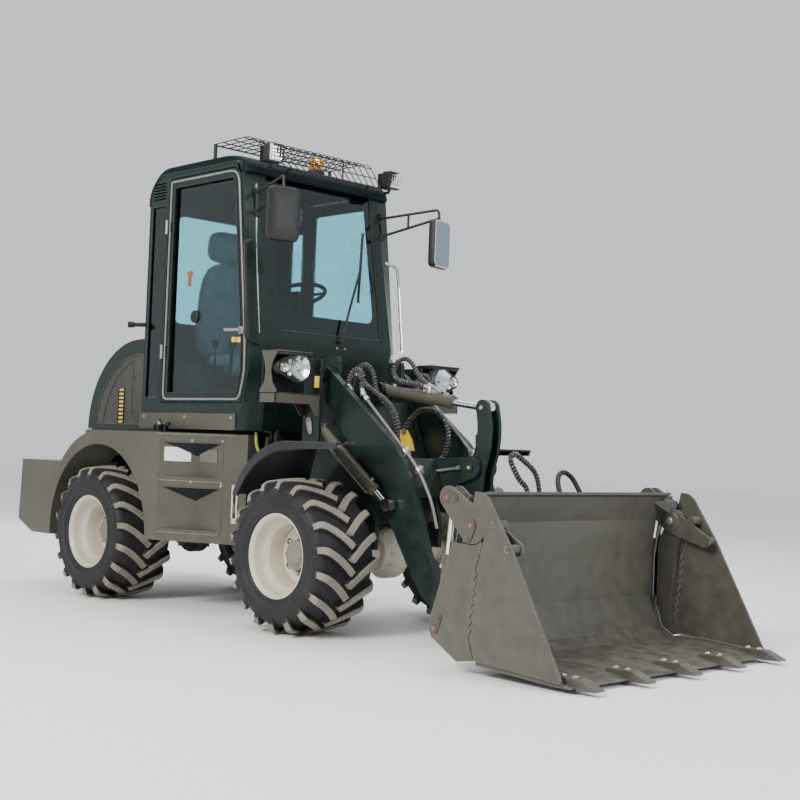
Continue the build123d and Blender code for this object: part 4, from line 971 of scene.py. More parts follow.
bm = bmesh.new()
handle = [(-604, -50, 1020), (-622, -50, 1020), (-622, 50, 1020), (-604, 50, 1020)]
tube_into(bm, rounded_path(handle, 0.015), 0.007, 10)
block_into(bm, (-606, -16, 1036), (-598, 16, 1056), 0.002)
fitted("hood_latch", bm, "hood", "black_plastic", black_plastic)


# ------------------------------------------------------------------ cab windows
# Bonded tinted glass with a printed black band round each pane, rubber beads
# along the edges, and a pressed grey seal round both doors.
def rounded_outline(points, bend, steps=6):
    """Closed X-Z outline whose corners are short arcs."""
    count = len(points)
    path = []
    for i in range(count):
        before, corner, after = (Vector((*points[k % count], 0)) for k in (i - 1, i, i + 1))
        path += [(p.x, p.y) for p in corner_arc(before, corner, after, bend, steps)]
    return path


def rounded_pane(low_x, low_z, high_x, high_z, bend, steps=6):
    corners = [(low_x, low_z), (high_x, low_z), (high_x, high_z), (low_x, high_z)]
    return rounded_outline(corners, bend, steps)


def band_into(bm, outer, inner, place, thick, material=0):
    """Flat band between two outlines with the same number of points."""
    part = bmesh.new()
    rings = [[part.verts.new(place(a, b, depth)) for a, b in ring]
             for ring, depth in ((outer, 0), (outer, thick), (inner, thick), (inner, 0))]
    skin(part, rings + rings[:1])
    mend_normals(part)
    merge(bm, part, None, material)


def screen_place(a, b, depth):
    """Windshield: a across, b up its slope from the lower edge, depth outwards, in millimetres."""
    x = 1209.4 - 151.4 * b / 888
    return spot(x + depth * 0.985, a, 1565 + b * 0.9854 + depth * 0.17)


rubber_trim = finish_material("rubber_trim", (0.013, 0.013, 0.014), 0.6, specular=0.3, dust=0.2, wear_and_highlight=0.2,
                              variation=0.15, grain=600, bump=0.15)
yellow_plate = finish_material("yellow_plate", (0.85, 0.52, 0.012), 0.4, dust=0.15, wear_and_highlight=0.15,
                               variation=0.1, bump=0.02)
frit = finish_material("frit", (0.005, 0.008, 0.013), 0.2, coat=0.3, dust=0.05, wear_and_highlight=0.0, variation=0.05,
                       bump=0.0)
grey_seal = finish_material("grey_seal", (0.20, 0.20, 0.19), 0.5, dust=0.2, wear_and_highlight=0.1, grain=500, bump=0.1)
bm = bmesh.new()
band_into(bm, rounded_pane(-399, 1, 399, 887, 12), rounded_pane(-352, 104, 352, 838, 62),
          lambda a, b, d: screen_place(a, b, d - 8.5), 1.5)
bead = [screen_place(a, b, 1) for a, b in rounded_pane(-399, 2, 399, 886, 20)]
tube_into(bm, bead, 0.006, 8, material=1, closed=True)
for side in (-1, 1):
    pane = rounded_pane(196, 1186, 339, 2319, 10)
    clear = rounded_pane(214, 1206, 321, 2296, 18)
    band_into(bm, pane, clear, lambda a, b, d: spot(a, side * (527 + d), b), 1.5)
    tube_into(bm, upright_line(side * 542, pane), 0.006, 8, material=1, closed=True)
pane = rounded_pane(-379, 1621, 379, 2329, 20)
clear = rounded_pane(-350, 1650, 350, 2300, 50)
band_into(bm, pane, clear, lambda a, b, d: spot(190 + d, a, b), 1.5)
tube_into(bm, [(174, a, b) for a, b in pane], 0.007, 8, material=1, closed=True)
fitted("window_bands", bm, "frame", "black_plastic", frit, rubber_trim)

window_edge = [(421, 2412), (421, 1215), (1077, 1215), (1105, 1334), (1100, 1494), (994, 2380), (975, 2406),
               (958, 2412)]
clear_edge = [(444, 2390), (444, 1238), (1060, 1238), (1082, 1338), (1078, 1490), (974, 2368), (962, 2384),
              (950, 2390)]
seal_edge = [(388, 2447), (386, 2440), (386, 1180), (1104, 1180), (1141, 1331), (1135, 1498), (1028, 2388),
             (1007, 2430), (962, 2447)]
knob_profile = [(0.0, 0.0), (0.034, 0.0), (0.036, 0.004), (0.036, 0.012), (0.028, 0.018), (0.014, 0.019),
                (0.010, 0.022), (0.0, 0.022)]
HINGE_X, HINGE_Y = 363, 553
for name, side in (("left", 1), ("right", -1)):
    bm = bmesh.new()
    window = rounded_outline(window_edge, 10)
    band_into(bm, window, rounded_outline(clear_edge, 40), lambda a, b, d: spot(a, side * (518 + d), b), 1.5)
    tube_into(bm, upright_line(side * 546, window), 0.0045, 8, material=1, closed=True)
    seal = upright_line(side * 546.5, rounded_outline(seal_edge, 40))
    tube_into(bm, seal, 0.0060, 8, material=2, closed=True)
    fitted(f"door_trim_{name}", bm, f"door_{name}", "black_plastic", frit, rubber_trim, grey_seal)

    bm = bmesh.new()
    for z in (1455, 2185):
        for low, high, radius in ((-36, 36, 0.0095), (-40, -36, 0.0115), (36, 40, 0.0115)):
            barrel = [(HINGE_X, side * HINGE_Y, z + low), (HINGE_X, side * HINGE_Y, z + high)]
            tube_into(bm, barrel, radius, 14)
    handle = [(1096, 548, 1556), (1096, 572, 1556), (985, 574, 1560), (985, 552, 1560)]
    tube_into(bm, rounded_path([(x, side * y, z) for x, y, z in handle], 0.012), 0.009, 10)
    block_into(bm, (1078, side * 545, 1536), (1116, side * 551, 1576), 0.002)
    fitted(f"door_metal_{name}", bm, f"door_{name}", "chrome", bare_steel)

    bm = bmesh.new()
    spin_profile(bm, knob_profile, 32, closed=False)
    if side < 0:
        mirror_sides(bm)
    bmesh.ops.translate(bm, verts=bm.verts, vec=spot(650, side * 527, 1650))
    block_into(bm, (1022, side * 545, 1492), (1056, side * 551, 1520), 0.001, material=1)
    block_into(bm, (1066, side * 545, 1490), (1100, side * 551, 1518), 0.001, material=1)
    fitted(f"door_knob_{name}", bm, f"door_{name}", "black_plastic", black_plastic, yellow_plate)


# ------------------------------------------------------------------ cab roof
# One pressed steel skin in the same green, without polish, over the whole cab,
# rounded at its corners and folded under along the edge.
roof_paint = finish_material("roof_paint", (0.0045, 0.0105, 0.0110), 0.5, dust=0.02, wear_and_highlight=0.1,
                             variation=0.16, bump=0.02, specular=0.06)
CORNER_START, CORNER_RADIUS = 495, 50
EDGE_START, EDGE_RADIUS = 535, 10
roof_stations = [0, 160, 320, 440, 475, CORNER_START, 510, 522, 531, 537, 541, 544, EDGE_START + EDGE_RADIUS]


def rolled_off(y, start, radius):
    """How far a rounded edge has dropped at a distance from the middle."""
    return radius - math.sqrt(radius ** 2 - max(0, abs(y) - start) ** 2)


rings = []
for y in [-y for y in reversed(roof_stations[1:])] + roof_stations:
    back = rolled_off(y, CORNER_START, CORNER_RADIUS)
    sink = rolled_off(y, EDGE_START, EDGE_RADIUS)
    top = arc_points((162, 2330), (200, 2462), (345, 2540), 12) + [(620, 2541), (900, 2540)]
    nose = [(985, 2533), (1040, 2515), (1074, 2489), (1092, 2461), (1098, 2437)]
    lining = [(1090 - back, 2429), (1072 - back, 2431), (1050 - back, 2497)]
    lining += reversed(arc_points((172, 2330), (205, 2441), (305, 2497), 12))
    outside = top + [(x - back, z) for x, z in nose]
    rings.append([(x, y, z - sink) for x, z in outside] + upright_line(y, lining))
bm = bmesh.new()
loft_into(bm, rings)
fitted("roof_skin", bm, "frame", "hull_paint", roof_paint, instead="cab_roof")


# ------------------------------------------------------------------ cab trim
# Painted rain gutters over the doors, a bent grab rail at each front post, black
# on the right and chromed on the left, and brass-headed screws along the sills.
brass = finish_material("brass", (0.55, 0.42, 0.18), 0.35, metallic=0.8, dust=0.2, wear_and_highlight=0.1)
bm = bmesh.new()
gutter = arc_points((170, 2330), (203, 2442), (305, 2498), 12) + [(1000, 2497), (1032, 2478), (1046, 2440)]
for side in (-1, 1):
    tube_into(bm, upright_line(side * 546, gutter), 0.006, 8)
fitted("rain_gutters", bm, "frame", "hull_paint", green_paint)
heads = [((x, side * 555, 1078), (0, side, 0)) for side in (-1, 1) for x in (215, 620, 1050)]
bolt_heads("sill_screws", "frame", heads, 0.007, 0.004, brass)
heads = [((1224, y, 1500), (1, 0, 0)) for y in (41, 101)]
bolt_heads("scuttle_screws", "frame", heads, 0.007, 0.005, bare_steel)


def grab_rail(side):
    bm = bmesh.new()
    rail = [(1095, 470, 2060), (1142, 580, 2030), (1200, 590, 1500), (1190, 470, 1475)]
    tube_into(bm, rounded_path([(x, side * y, z) for x, y, z in rail], 0.03, 8), 0.0108, 14)
    return bm


bm = grab_rail(-1)
tube_into(bm, [(172, -500, 1625), (104, -610, 1620)], 0.013, 12)
tube_into(bm, [(118, -588, 1621), (98, -620, 1620)], 0.019, 12)
fitted("handrail_right", bm, "frame", "black_plastic", black_plastic, instead="handrails")
bm = grab_rail(1)
corner_strip = [(1080, -469, 2372), (1121, -486, 2090), (1163, -496, 1800), (1200, -502, 1540)]
tube_into(bm, corner_strip, 0.0045, 8)
fitted("handrail_left", bm, "frame", "chrome", chrome)


# ------------------------------------------------------------------ seat and controls
# Sprung seat with padded cushions still in their clear covers, a green console
# on each side, and a rubber-rimmed steering wheel on a boxed column.
covered_pad = finish_material("covered_pad", (0.80, 0.82, 0.90), 0.35, coat=0.4, dust=0.05, wear_and_highlight=0.0,
                              variation=0.25, grain=26, bump=0.9)
dark_trim = finish_material("dark_trim", (0.020, 0.021, 0.022), 0.6, dust=0.15, wear_and_highlight=0.1, grain=500,
                            bump=0.25)


EDGE_ROUND, CORNER_PULL = 0.10, 0.16
SEAM_DEPTH, SEAM_WIDTH = 0.14, 0.045


def pad(name, centre, half, crown, tilt=0.0, channels=(), instead=None):
    """Crowned cushion with sewn channels across it, about its centre."""
    bm = bmesh.new()
    bmesh.ops.create_cube(bm, size=2)
    bmesh.ops.subdivide_edges(bm, edges=bm.edges[:], cuts=17, use_grid_fill=True)
    for vert in bm.verts:
        u, v, w = vert.co
        reach = 1 - EDGE_ROUND * w * w
        pinch = (abs(u) ** 3.5 + abs(v) ** 3.5) / 2
        x, y = u * reach * (1 - CORNER_PULL * v ** 4), v * reach * (1 - CORNER_PULL * u ** 4)
        lift = w * (1 - CORNER_PULL * pinch)
        lift += crown * (1 - u * u) * (1 - v * v) * max(w, 0)
        for line in channels:
            lift -= SEAM_DEPTH * math.exp(-((u - line) / SEAM_WIDTH) ** 2) * max(w, 0)
        vert.co = Vector((x * half[0], y * half[1], lift * half[2]))
    bm.transform(Matrix.Translation(placed(centre)) @ Matrix.Rotation(tilt, 4, "Y"))
    bmesh.ops.recalc_face_normals(bm, faces=bm.faces)
    piece = make_object(name, bm, covered_pad, sharp=70)
    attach(piece, "frame")
    if instead:
        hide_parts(instead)


pad("seat_cushion", (525, 0, 1392), (0.232, 0.250, 0.070), 0.35, 0.0, (-0.35, 0.35), instead="seat")
pad("seat_back", (296, 0, 1735), (0.300, 0.250, 0.055), 0.5, math.radians(-82.5) + math.pi, (-0.3, 0.25))
pad("head_rest", (246, 0, 2140), (0.098, 0.150, 0.048), 0.5, math.radians(-83) + math.pi)
bm = bmesh.new()
block_into(bm, (335, -195, 1056), (635, 195, 1080), 0.006)
for z in range(1110, 1271, 40):
    block_into(bm, (345, -180, z - 17), (625, 180, z + 17), 0.014, 3)
block_into(bm, (320, -215, 1290), (700, 215, 1322), 0.008)
for y in (-60, 60):
    tube_into(bm, [(258, y, 2000), (250, y, 2070)], 0.008, 10)
fitted("seat_base", bm, "frame", "black_plastic", dark_trim)

console_paint = finish_material("console_paint", (0.03, 0.085, 0.055), 0.4, dust=0.05, wear_and_highlight=0.1, bump=0.02)
bm = bmesh.new()
for side, front in ((-1, 760), (1, 860)):
    profile = [(235, 1056), (front, 1056), (front, 1160), (front - 170, 1395), (235, 1395)]
    prism_into(bm, profile, side * 265, side * 470, bevel=0.01)
fitted("side_consoles", bm, "frame", "hull_paint", console_paint)
places = ((270, 1100), (600, 1100), (270, 1350), (540, 1350))
heads = [((x, side * 471, z), (0, side, 0)) for side in (-1, 1) for x, z in places]
bolt_heads("console_bolts", "frame", heads, 0.008, 0.006, bare_steel)

bm = bmesh.new()
rim = Matrix.Translation(spot(885, 0, 1812)) @ Matrix.Rotation(math.radians(-18), 4, "Y")
RIM_RADIUS = 0.178
ring = [rim @ Vector((RIM_RADIUS * math.cos(a), RIM_RADIUS * math.sin(a), 0)) for a in angles(48)]
tube_into(bm, ring, 0.0125, 12, closed=True)
boss = bmesh.new()
bmesh.ops.create_cone(boss, cap_ends=True, segments=24, radius1=0.046, radius2=0.038, depth=0.03)
merge(bm, boss, rim)
for a in angles(3):
    spoke = [rim @ Vector((-r * math.cos(a), -r * math.sin(a), z))
             for r, z in ((0.03, 0.0), (0.10, -0.004), (0.175, 0.0))]
    tube_into(bm, spoke, (0.012, 0.009, 0.008))
tube_into(bm, [rim @ Vector((0, 0, 0)), spot(900, 0, 1680)], 0.030, 16)
tube_into(bm, [(900, 0, 1690), (1000, 0, 1100)], 0.038, 20)
block_into(bm, (905, -105, 1056), (1035, 105, 1113), 0.012, 3)
tube_into(bm, [rim @ Vector((0.0, -RIM_RADIUS, 0.005)), rim @ Vector((0.0, -RIM_RADIUS, 0.05))], 0.012, 12)
fitted("steering_wheel_rim", bm, "frame", "black_plastic", dark_trim, instead="steering_wheel")

bm = bmesh.new()
hood_line = [(1060, 1150), (1170, 1150), (1196, 1330), (1186, 1520), (1070, 1560), (1020, 1480)]
prism_into(bm, hood_line, -400, 400, bevel=0.012)
for y in (-150, -60, 40, 150):
    dial = bmesh.new()
    bmesh.ops.create_cone(dial, cap_ends=True, segments=24, radius1=0.036, radius2=0.034, depth=0.012)
    merge(bm, dial, Matrix.Translation(spot(1040, y, 1524)) @ Matrix.Rotation(math.radians(-38), 4, "Y"), 1)
fitted("dash_panel", bm, "frame", "black_plastic", dark_trim, black_plastic)

bm = bmesh.new()
for x, y, lean in ((720, -330, 0.04), (690, -290, 0.02), (640, -370, 0.0)):
    tube_into(bm, [(x, y, 1290), (x + lean * 500, y, 1490)], 0.006, 10)
    tube_into(bm, [(x + lean * 500, y, 1485), (x + lean * 540, y, 1530)], (0.016, 0.019), 14)
fitted("control_levers", bm, "frame", "black_plastic", black_plastic)

# The escape hammer's orange plastic glows although it is no lamp: this is painted light that keeps it bright
# behind the tinted glass.
orange_plastic_painted_glow = finish_material("orange_plastic_painted_glow", (0.95, 0.26, 0.03), 0.4, dust=0.05, wear_and_highlight=0.1)
painted_glow = orange_plastic_painted_glow.node_tree.nodes["Principled BSDF"].inputs
painted_glow["Emission Color"].default_value = (1.0, 0.2, 0.03, 1)
painted_glow["Emission Strength"].default_value = 2.0
bm = bmesh.new()
tube_into(bm, [(512, -478, 1838), (512, -478, 1905)], 0.011, 12)
tube_into(bm, [(498, -478, 1912), (526, -478, 1912)], 0.013, 12)
fitted("escape_hammer", bm, "frame", "amber", orange_plastic_painted_glow)

bm = bmesh.new()
block_into(bm, (230, -485, 1056), (1040, 485, 1061), 0.002)
for y in range(-460, 461, 40):
    block_into(bm, (640, y - 6, 1060), (1030, y + 6, 1064), 0.001, 1)
fitted("floor_mat", bm, "frame", "black_plastic", rubber_trim)


# ------------------------------------------------------------------ head lamps
# Chromed twin reflectors behind one clear cover in a black shell, carried on a
# chunky olive bracket with a waisted end plate and a folded channel below.
def turned_into(bm, centre, way, profile, segments=32, material=0):
    """Solid or shell of (radius, height) points turned about a line through the centre."""
    turn = Vector(way).normalized().to_track_quat("Z", "Y").to_matrix().to_4x4()
    part = bmesh.new()
    rings = []
    for radius, height in profile:
        ring = [(radius * math.cos(a), radius * math.sin(a), height) for a in angles(segments)]
        rings.append([part.verts.new(place) for place in (ring if radius else [(0, 0, height)])])
    for here, there in zip(rings, rings[1:]):
        for k in range(segments):
            j = (k + 1) % segments
            if len(here) == 1:
                part.faces.new((here[0], there[k], there[j]))
            elif len(there) == 1:
                part.faces.new((here[k], here[j], there[0]))
            else:
                part.faces.new((here[k], here[j], there[j], there[k]))
    if len(rings[0]) > 1 and len(rings[-1]) > 1:
        part.faces.new(rings[0])
        part.faces.new(rings[-1])
    bmesh.ops.recalc_face_normals(part, faces=part.faces)
    merge(bm, part, Matrix.Translation(placed(centre)) @ turn, material)


def button_into(bm, centre, way, radius, height, top_radius, top, segments, material=0):
    """Round or hexagon head with a chamfered top."""
    profile = [(radius, 0), (radius, height), (top_radius, top), (0, top)]
    turned_into(bm, centre, way, profile, segments, material)


def strap_outline(first, first_radius, second, second_radius, count=14):
    """Outline round two circles and their tangents, in the plane of the two centres."""
    (ax, ay), (bx, by) = first, second
    lean = math.atan2(by - ay, bx - ax)
    open_angle = math.acos((first_radius - second_radius) / math.dist(first, second))
    path = []
    for (x, y), radius, low, high in (
        (second, second_radius, -open_angle, open_angle),
        (first, first_radius, open_angle, math.tau - open_angle),
    ):
        for i in range(count + 1):
            a = lean + low + (high - low) * i / count
            path.append((x + radius * math.cos(a), y + radius * math.sin(a)))
    return path


waisted_plate = [(1450, 1158), (1580, 1158), (1580, 1222), (1546, 1262), (1536, 1318), (1546, 1366),
                 (1590, 1427), (1456, 1427), (1484, 1366), (1492, 1318), (1486, 1262), (1450, 1222)]
channel = [(684, 1158), (450, 1158), (405, 1100), (384, 1100), (384, 1211), (684, 1211)]
bowl = [(0.0, 0.001), (0.024, 0.0015), (0.044, 0.004), (0.064, 0.010), (0.067, 0.010), (0.067, -0.001),
        (0.0, -0.001)]
bulb_shield = [(0.0, 0.012), (0.017, 0.010), (0.020, 0.004), (0.020, 0.001), (0.0, 0.001)]
dimple = [(0.0, 0.001), (0.006, 0.002), (0.012, 0.006), (0.013, 0.006), (0.013, -0.001), (0.0, -0.001)]
amber_button = [(0.007, 0.0), (0.007, 0.004), (0.004, 0.008), (0.0, 0.009)]
REFLECTOR_X = 1575
LAMP_Z = 1342
for name, side in (("right", -1), ("left", 1)):
    bm = bmesh.new()
    prism_into(bm, waisted_plate, side * 676, side * 684, bevel=0.001)
    for x in (1450, 1574):
        loft_into(bm, [[(x + shift, side * y, z) for y, z in channel] for shift in (0, 6)])
    block_into(bm, (1450, side * 384, 1203), (1580, side * 684, 1211), 0.002)
    block_into(bm, (1462, side * 450, 1421), (1592, side * 684, 1427), 0.002)
    fitted(f"lamp_bracket_{name}", bm, "front_frame", "trim_paint", olive_paint,
           instead="headlight_brackets" if side == 1 else None)

    near, far = (side * 530, 1344), (side * 640, 1338)

    def shrunk(outline, x, share, middle_y):
        """Outline drawn in towards the lamp's middle, at one X."""
        return [(x, side * middle_y + (y - side * middle_y) * share, LAMP_Z + (z - LAMP_Z) * share)
                for y, z in outline]

    radii = ((84, 40), (79, 36), (70, 27))
    outer, middle, inner = (strap_outline(near, big, far, small) for big, small in radii)
    front = ((outer, 1556), (outer, 1578), (middle, 1584), (inner, 1584), (inner, 1574))
    bm = bmesh.new()
    loft_into(bm, [shrunk(outer, 1480, 0.62, 560)] + [[(x, y, z) for y, z in ring] for ring, x in front])
    block_into(bm, (1452, side * 452, 1404), (1588, side * 674, 1420), 0.004)
    block_into(bm, (1452, side * 452, 1212), (1462, side * 674, 1410), 0.002)
    fitted(f"lamp_shell_{name}", bm, "front_frame", "black_plastic", black_plastic,
           instead="headlights" if side == 1 else None)

    bm = bmesh.new()
    turned_into(bm, (REFLECTOR_X, *near), (1, 0, 0), bowl, 40)
    turned_into(bm, (REFLECTOR_X, *near), (1, 0, 0), bulb_shield, 24)
    for y, z, r in ((640, 1338, 0.025), (610, 1340, 0.016)):
        cup = [(0.0, 0.001), (r * 0.5, 0.0015), (r, 0.008), (r + 0.002, 0.008), (r + 0.002, -0.001),
               (0.0, -0.001)]
        turned_into(bm, (REFLECTOR_X, side * y, z), (1, 0, 0), cup)
    for y, z in ((596, 1372), (600, 1308)):
        turned_into(bm, (REFLECTOR_X, side * y, z), (1, 0, 0), dimple, 20)
    for y, z in ((632, 1348), (648, 1328)):
        turned_into(bm, (REFLECTOR_X + 2, side * y, z), (1, 0, 0), amber_button, 16, 1)
    fitted(f"reflectors_{name}", bm, "front_frame", "chrome", chrome, orange_lens)

    bm = bmesh.new()
    cover = strap_outline(near, 69, far, 26)
    loft_into(bm, [shrunk(cover, x, share, 568) for share, x in
                   ((1, 1583.5), (1, 1586.5), (0.86, 1590), (0.5, 1592.5), (0.2, 1593))])
    fitted(f"lamp_cover_{name}", bm, "front_frame", "lamp_glass", clear_lens)

    bm = bmesh.new()
    block_into(bm, (1581, side * 392, 1247), (1583, side * 424, 1308), 0.0005)
    fitted(f"lamp_tag_{name}", bm, "front_frame", "trim_paint", yellow_plate)


# ------------------------------------------------------------------ front fenders
# Black moulded fenders with a worn grey rolled edge, bolted to the post shelf.
worn_edge = finish_material("worn_edge", (0.018, 0.019, 0.021), 0.5, dust=0.1, wear_and_highlight=0.2, variation=0.35,
                            wear_and_highlight_colour=(0.12, 0.12, 0.12), bump=0.2, specular=0.25)
arch = arc_points((1317, 680), (1480, 880), (1760, 960), 28) + [(2105, 960)]
under_arch = arc_points((1350, 668), (1508, 846), (1764, 922), 28) + [(2098, 930)]
for name, side in (("right", -1), ("left", 1)):
    bm = bmesh.new()
    prism_into(bm, arch + under_arch[::-1], side * 715, side * 728.5, bevel=0.003)
    tube_into(bm, [(x, side * 722, z - 4) for x, z in arch], 0.007, 8)
    fitted(f"fender_edge_{name}", bm, "front_frame", "black_plastic", worn_edge, sharp=50)
    heads = [((x, side * y, 962), (0, 0, 1)) for x in (1780, 1900) for y in (430, 470)]
    heads += [((x, side * 384, 950), (0, side, 0)) for x in (1475, 1555)]
    bolt_heads(f"fender_bolts_{name}", "front_frame", heads, 0.009, 0.006, dark_iron)


# ------------------------------------------------------------------ pins and keepers
# Pin ends locked by a slanted keeper plate with a hexagon bolt and closed by a
# red grease plug; the pins of the boom and crank have round caps with brass plugs.
red_plug = finish_material("red_plug", (0.55, 0.035, 0.018), 0.4, dust=0.15, wear_and_highlight=0.1)
for name, body, (x, y, z), (ahead_by, up_by), radius in (
    ("post", "front_frame", (1503, 383, 1071), (14, -52), 18),
    ("jaw_ear", "jaw", (2901, 782, 745), (46, -4), 20),
    ("jaw_pivot", "jaw", (3045, 784, 631), (-14, -58), 22),
    ("jaw_cylinder", "bucket", (2848, 782, 175), (26, 46), 20),
    ("bucket_pin", "bucket", (2600, 327, 215), (-8, 40), 20),
):
    bm = bmesh.new()
    for side in (-1, 1):
        way = (0, side, 0)
        keeper = strap_outline((x, z), radius + 4, (x + ahead_by, z + up_by), 15)
        prism_into(bm, keeper, side * y, side * (y + 5), bevel=0.001)
        button_into(bm, (x, side * (y + 4), z), way, radius * 0.0009, 0.004, radius * 0.0008, 0.005, 24)
        button_into(bm, (x, side * (y + 6), z), way, 0.009, 0.002, 0.006, 0.0036, 16, 1)
        button_into(bm, (x + ahead_by, side * (y + 4), z + up_by), way, 0.009, 0.005, 0.007, 0.007, 6)
    plate_finish = olive_paint if body != "front_frame" else bare_steel
    fitted(f"keepers_{name}", bm, body, "trim_paint", plate_finish, red_plug)

for name, body, ends in (
    ("boom", "boom", [((2070, 309, 661), 22), ((1505, 300, 1312), 30)]),
    ("crank", "boom", [((2380, 76, 863), 20)]),
    ("crank_top", "crank", [((2420, 44, 1163), 22), ((2364, 48, 403), 20)]),
    ("tilt_base", "front_frame", [((1673, 62, 1256), 20)]),
):
    bm = bmesh.new()
    for (x, y, z), radius in ends:
        for side in (-1, 1):
            way, size = (0, side, 0), radius / 1000
            button_into(bm, (x, side * (y - 1), z), way, size, 0.004, size * 0.7, 0.005, 28)
            button_into(bm, (x, side * (y + 3), z), way, size * 0.52, 0.007, size * 0.4, 0.009, 6, 1)
    fitted(f"pin_caps_{name}", bm, body, "hull_paint", boom_paint, brass)


# ------------------------------------------------------------------ pipes and hoses
# Rubber hoses in spiral plastic wrap with crimped steel ends, bent steel pipes
# held on the arms by clamp blocks, thin grease tubes and pipes under the lift
# cylinders, and a blank yellow plate on the front frame's web.
spiral_wrap = finish_material("spiral_wrap", (0.075, 0.075, 0.074), 0.28, dust=0.2, wear_and_highlight=0.4, variation=0.2,
                              wear_and_highlight_colour=(0.20, 0.20, 0.19), bump=0.1)
pipe_paint = finish_material("pipe_paint", (0.15, 0.145, 0.12), 0.35, metallic=0.3, dust=0.2, wear_and_highlight=0.3)


def smooth_path(points, steps=9):
    """Even curve through the points of a hose."""
    points = [placed(point) for point in points]
    points = [points[0] * 2 - points[1]] + points + [points[-1] * 2 - points[-2]]
    path = []
    for before, start, end, after in zip(points, points[1:], points[2:], points[3:]):
        for i in range(steps):
            t = i / steps
            bend = (2 * before - 5 * start + 4 * end - after) * t ** 2
            twist = (3 * start - before - 3 * end + after) * t ** 3
            path.append(0.5 * (2 * start + (end - before) * t + bend + twist))
    return path + [points[-2]]


WRAP_PITCH, WRAP_THICK, WRAP_SIDES = 0.0175, 0.0034, 8
COLLAR_LENGTH, NUT_LENGTH = 0.034, 0.014


def wrapped_hose(bm, points, radius):
    """Hose with a raised spiral round it and a crimped collar at each end."""
    path = smooth_path(points)
    tube_into(bm, path, radius - 0.0015, 10, 2)
    lengths = [0.0]
    for here, there in zip(path, path[1:]):
        lengths.append(lengths[-1] + (there - here).length)
    normal = (path[1] - path[0]).orthogonal().normalized()
    coil = []
    here = 0
    for k in range(int(lengths[-1] / WRAP_PITCH) * WRAP_SIDES + 1):
        reach = min(k / WRAP_SIDES * WRAP_PITCH, lengths[-1] - 1e-5)
        while lengths[here + 1] < reach:
            here += 1
        share = (reach - lengths[here]) / (lengths[here + 1] - lengths[here])
        along = (path[here + 1] - path[here]).normalized()
        normal = (normal - along * normal.dot(along)).normalized()
        angle = math.tau * k / WRAP_SIDES
        out = normal * math.cos(angle) + along.cross(normal) * math.sin(angle)
        coil.append(path[here].lerp(path[here + 1], share) + out * (radius - 0.0008))
    tube_into(bm, coil, WRAP_THICK, 4)
    for end, beside in ((path[0], path[3]), (path[-1], path[-4])):
        along = (beside - end).normalized()
        tube_into(bm, [end, end + along * COLLAR_LENGTH], radius + 0.0008, 12, 1)
        tube_into(bm, [end - along * 0.004, end + along * NUT_LENGTH], radius + 0.005, 6, 1)


TOWER_ROUTES = [
    [(1500, -90, 1205), (1512, -92, 1290), (1560, -95, 1368), (1630, -100, 1388), (1690, -105, 1338),
     (1718, -110, 1262), (1770, -118, 1205), (1840, -125, 1160), (1893, -130, 1085), (1905, -135, 1000),
     (1880, -138, 915), (1826, -140, 860), (1768, -140, 836)],
    [(1500, -150, 1205), (1515, -152, 1265), (1565, -155, 1322), (1635, -160, 1325), (1705, -165, 1275),
     (1785, -168, 1232), (1870, -170, 1190), (1940, -172, 1120), (1965, -174, 1030), (1945, -176, 940),
     (1885, -178, 860), (1786, -180, 790)],
    [(1692, 130, 1030), (1750, 130, 1108), (1835, 130, 1158), (1940, 135, 1148), (2008, 140, 1085),
     (2020, 145, 1000), (1985, 150, 915), (1905, 150, 850), (1788, 150, 800)],
]
BUCKET_ROUTE = [(2868, -160, 640), (2856, -199, 776), (2850, -247, 821), (2850, -304, 889), (2850, -314, 925),
                (2850, -286, 938), (2850, -235, 917), (2850, -140, 858), (2856, -109, 776), (2868, -104, 640)]
SMOOTH_ROUTE = [(2868, 104, 640), (2838, 98, 718), (2800, 106, 790), (2778, 134, 842), (2768, 190, 858),
                (2776, 243, 830), (2802, 268, 770), (2838, 280, 702), (2868, 284, 640)]
TILT_ROUTE = [(2022, -12, 1262), (1935, -14, 1287), (1850, -14, 1297), (1778, -12, 1314), (1744, -8, 1362),
              (1770, -2, 1410), (1825, 4, 1424), (1874, 8, 1392), (1915, 10, 1336), (1965, 12, 1298),
              (2022, 12, 1268)]
ARM_ROUTE = [(1775, 1218), (1758, 1268), (1766, 1316), (1744, 1346), (1704, 1350), (1672, 1322),
             (1658, 1280), (1676, 1240)]
ARM_RUN = [(1775, 1218), (2103, 933), (2200, 843), (2296, 694), (2340, 560)]
HOSE_RADIUS = 0.0125

for name, body, routes in (
    ("tower_hoses", "front_frame", TOWER_ROUTES),
    ("bucket_hoses", "bucket", [BUCKET_ROUTE]),
    ("tilt_hoses", "tilt_barrel", [TILT_ROUTE]),
):
    bm = bmesh.new()
    for route in routes:
        wrapped_hose(bm, route, HOSE_RADIUS)
    if name == "bucket_hoses":
        tube_into(bm, smooth_path(SMOOTH_ROUTE), HOSE_RADIUS, 12, 2)
    if name == "tilt_hoses":
        union = [(0.014, -0.012), (0.014, 0.014), (0.011, 0.020), (0, 0.020)]
        for y in (-17, 17):
            turned_into(bm, (2030, y, 1252), (0.1, 0, 1), union, 6, 1)
            pipe = [(2024, y, 1266), (2066, y, 1270), (2110, y, 1240)]
            tube_into(bm, rounded_path(pipe, 0.02), 0.008, 10, 1)
        block_into(bm, (2004, -26, 1238), (2046, 26, 1258), 0.003, material=1)
    fitted(f"wrapped_{name}", bm, body, "black_plastic", spiral_wrap, bare_steel, rubber_trim, instead=name)

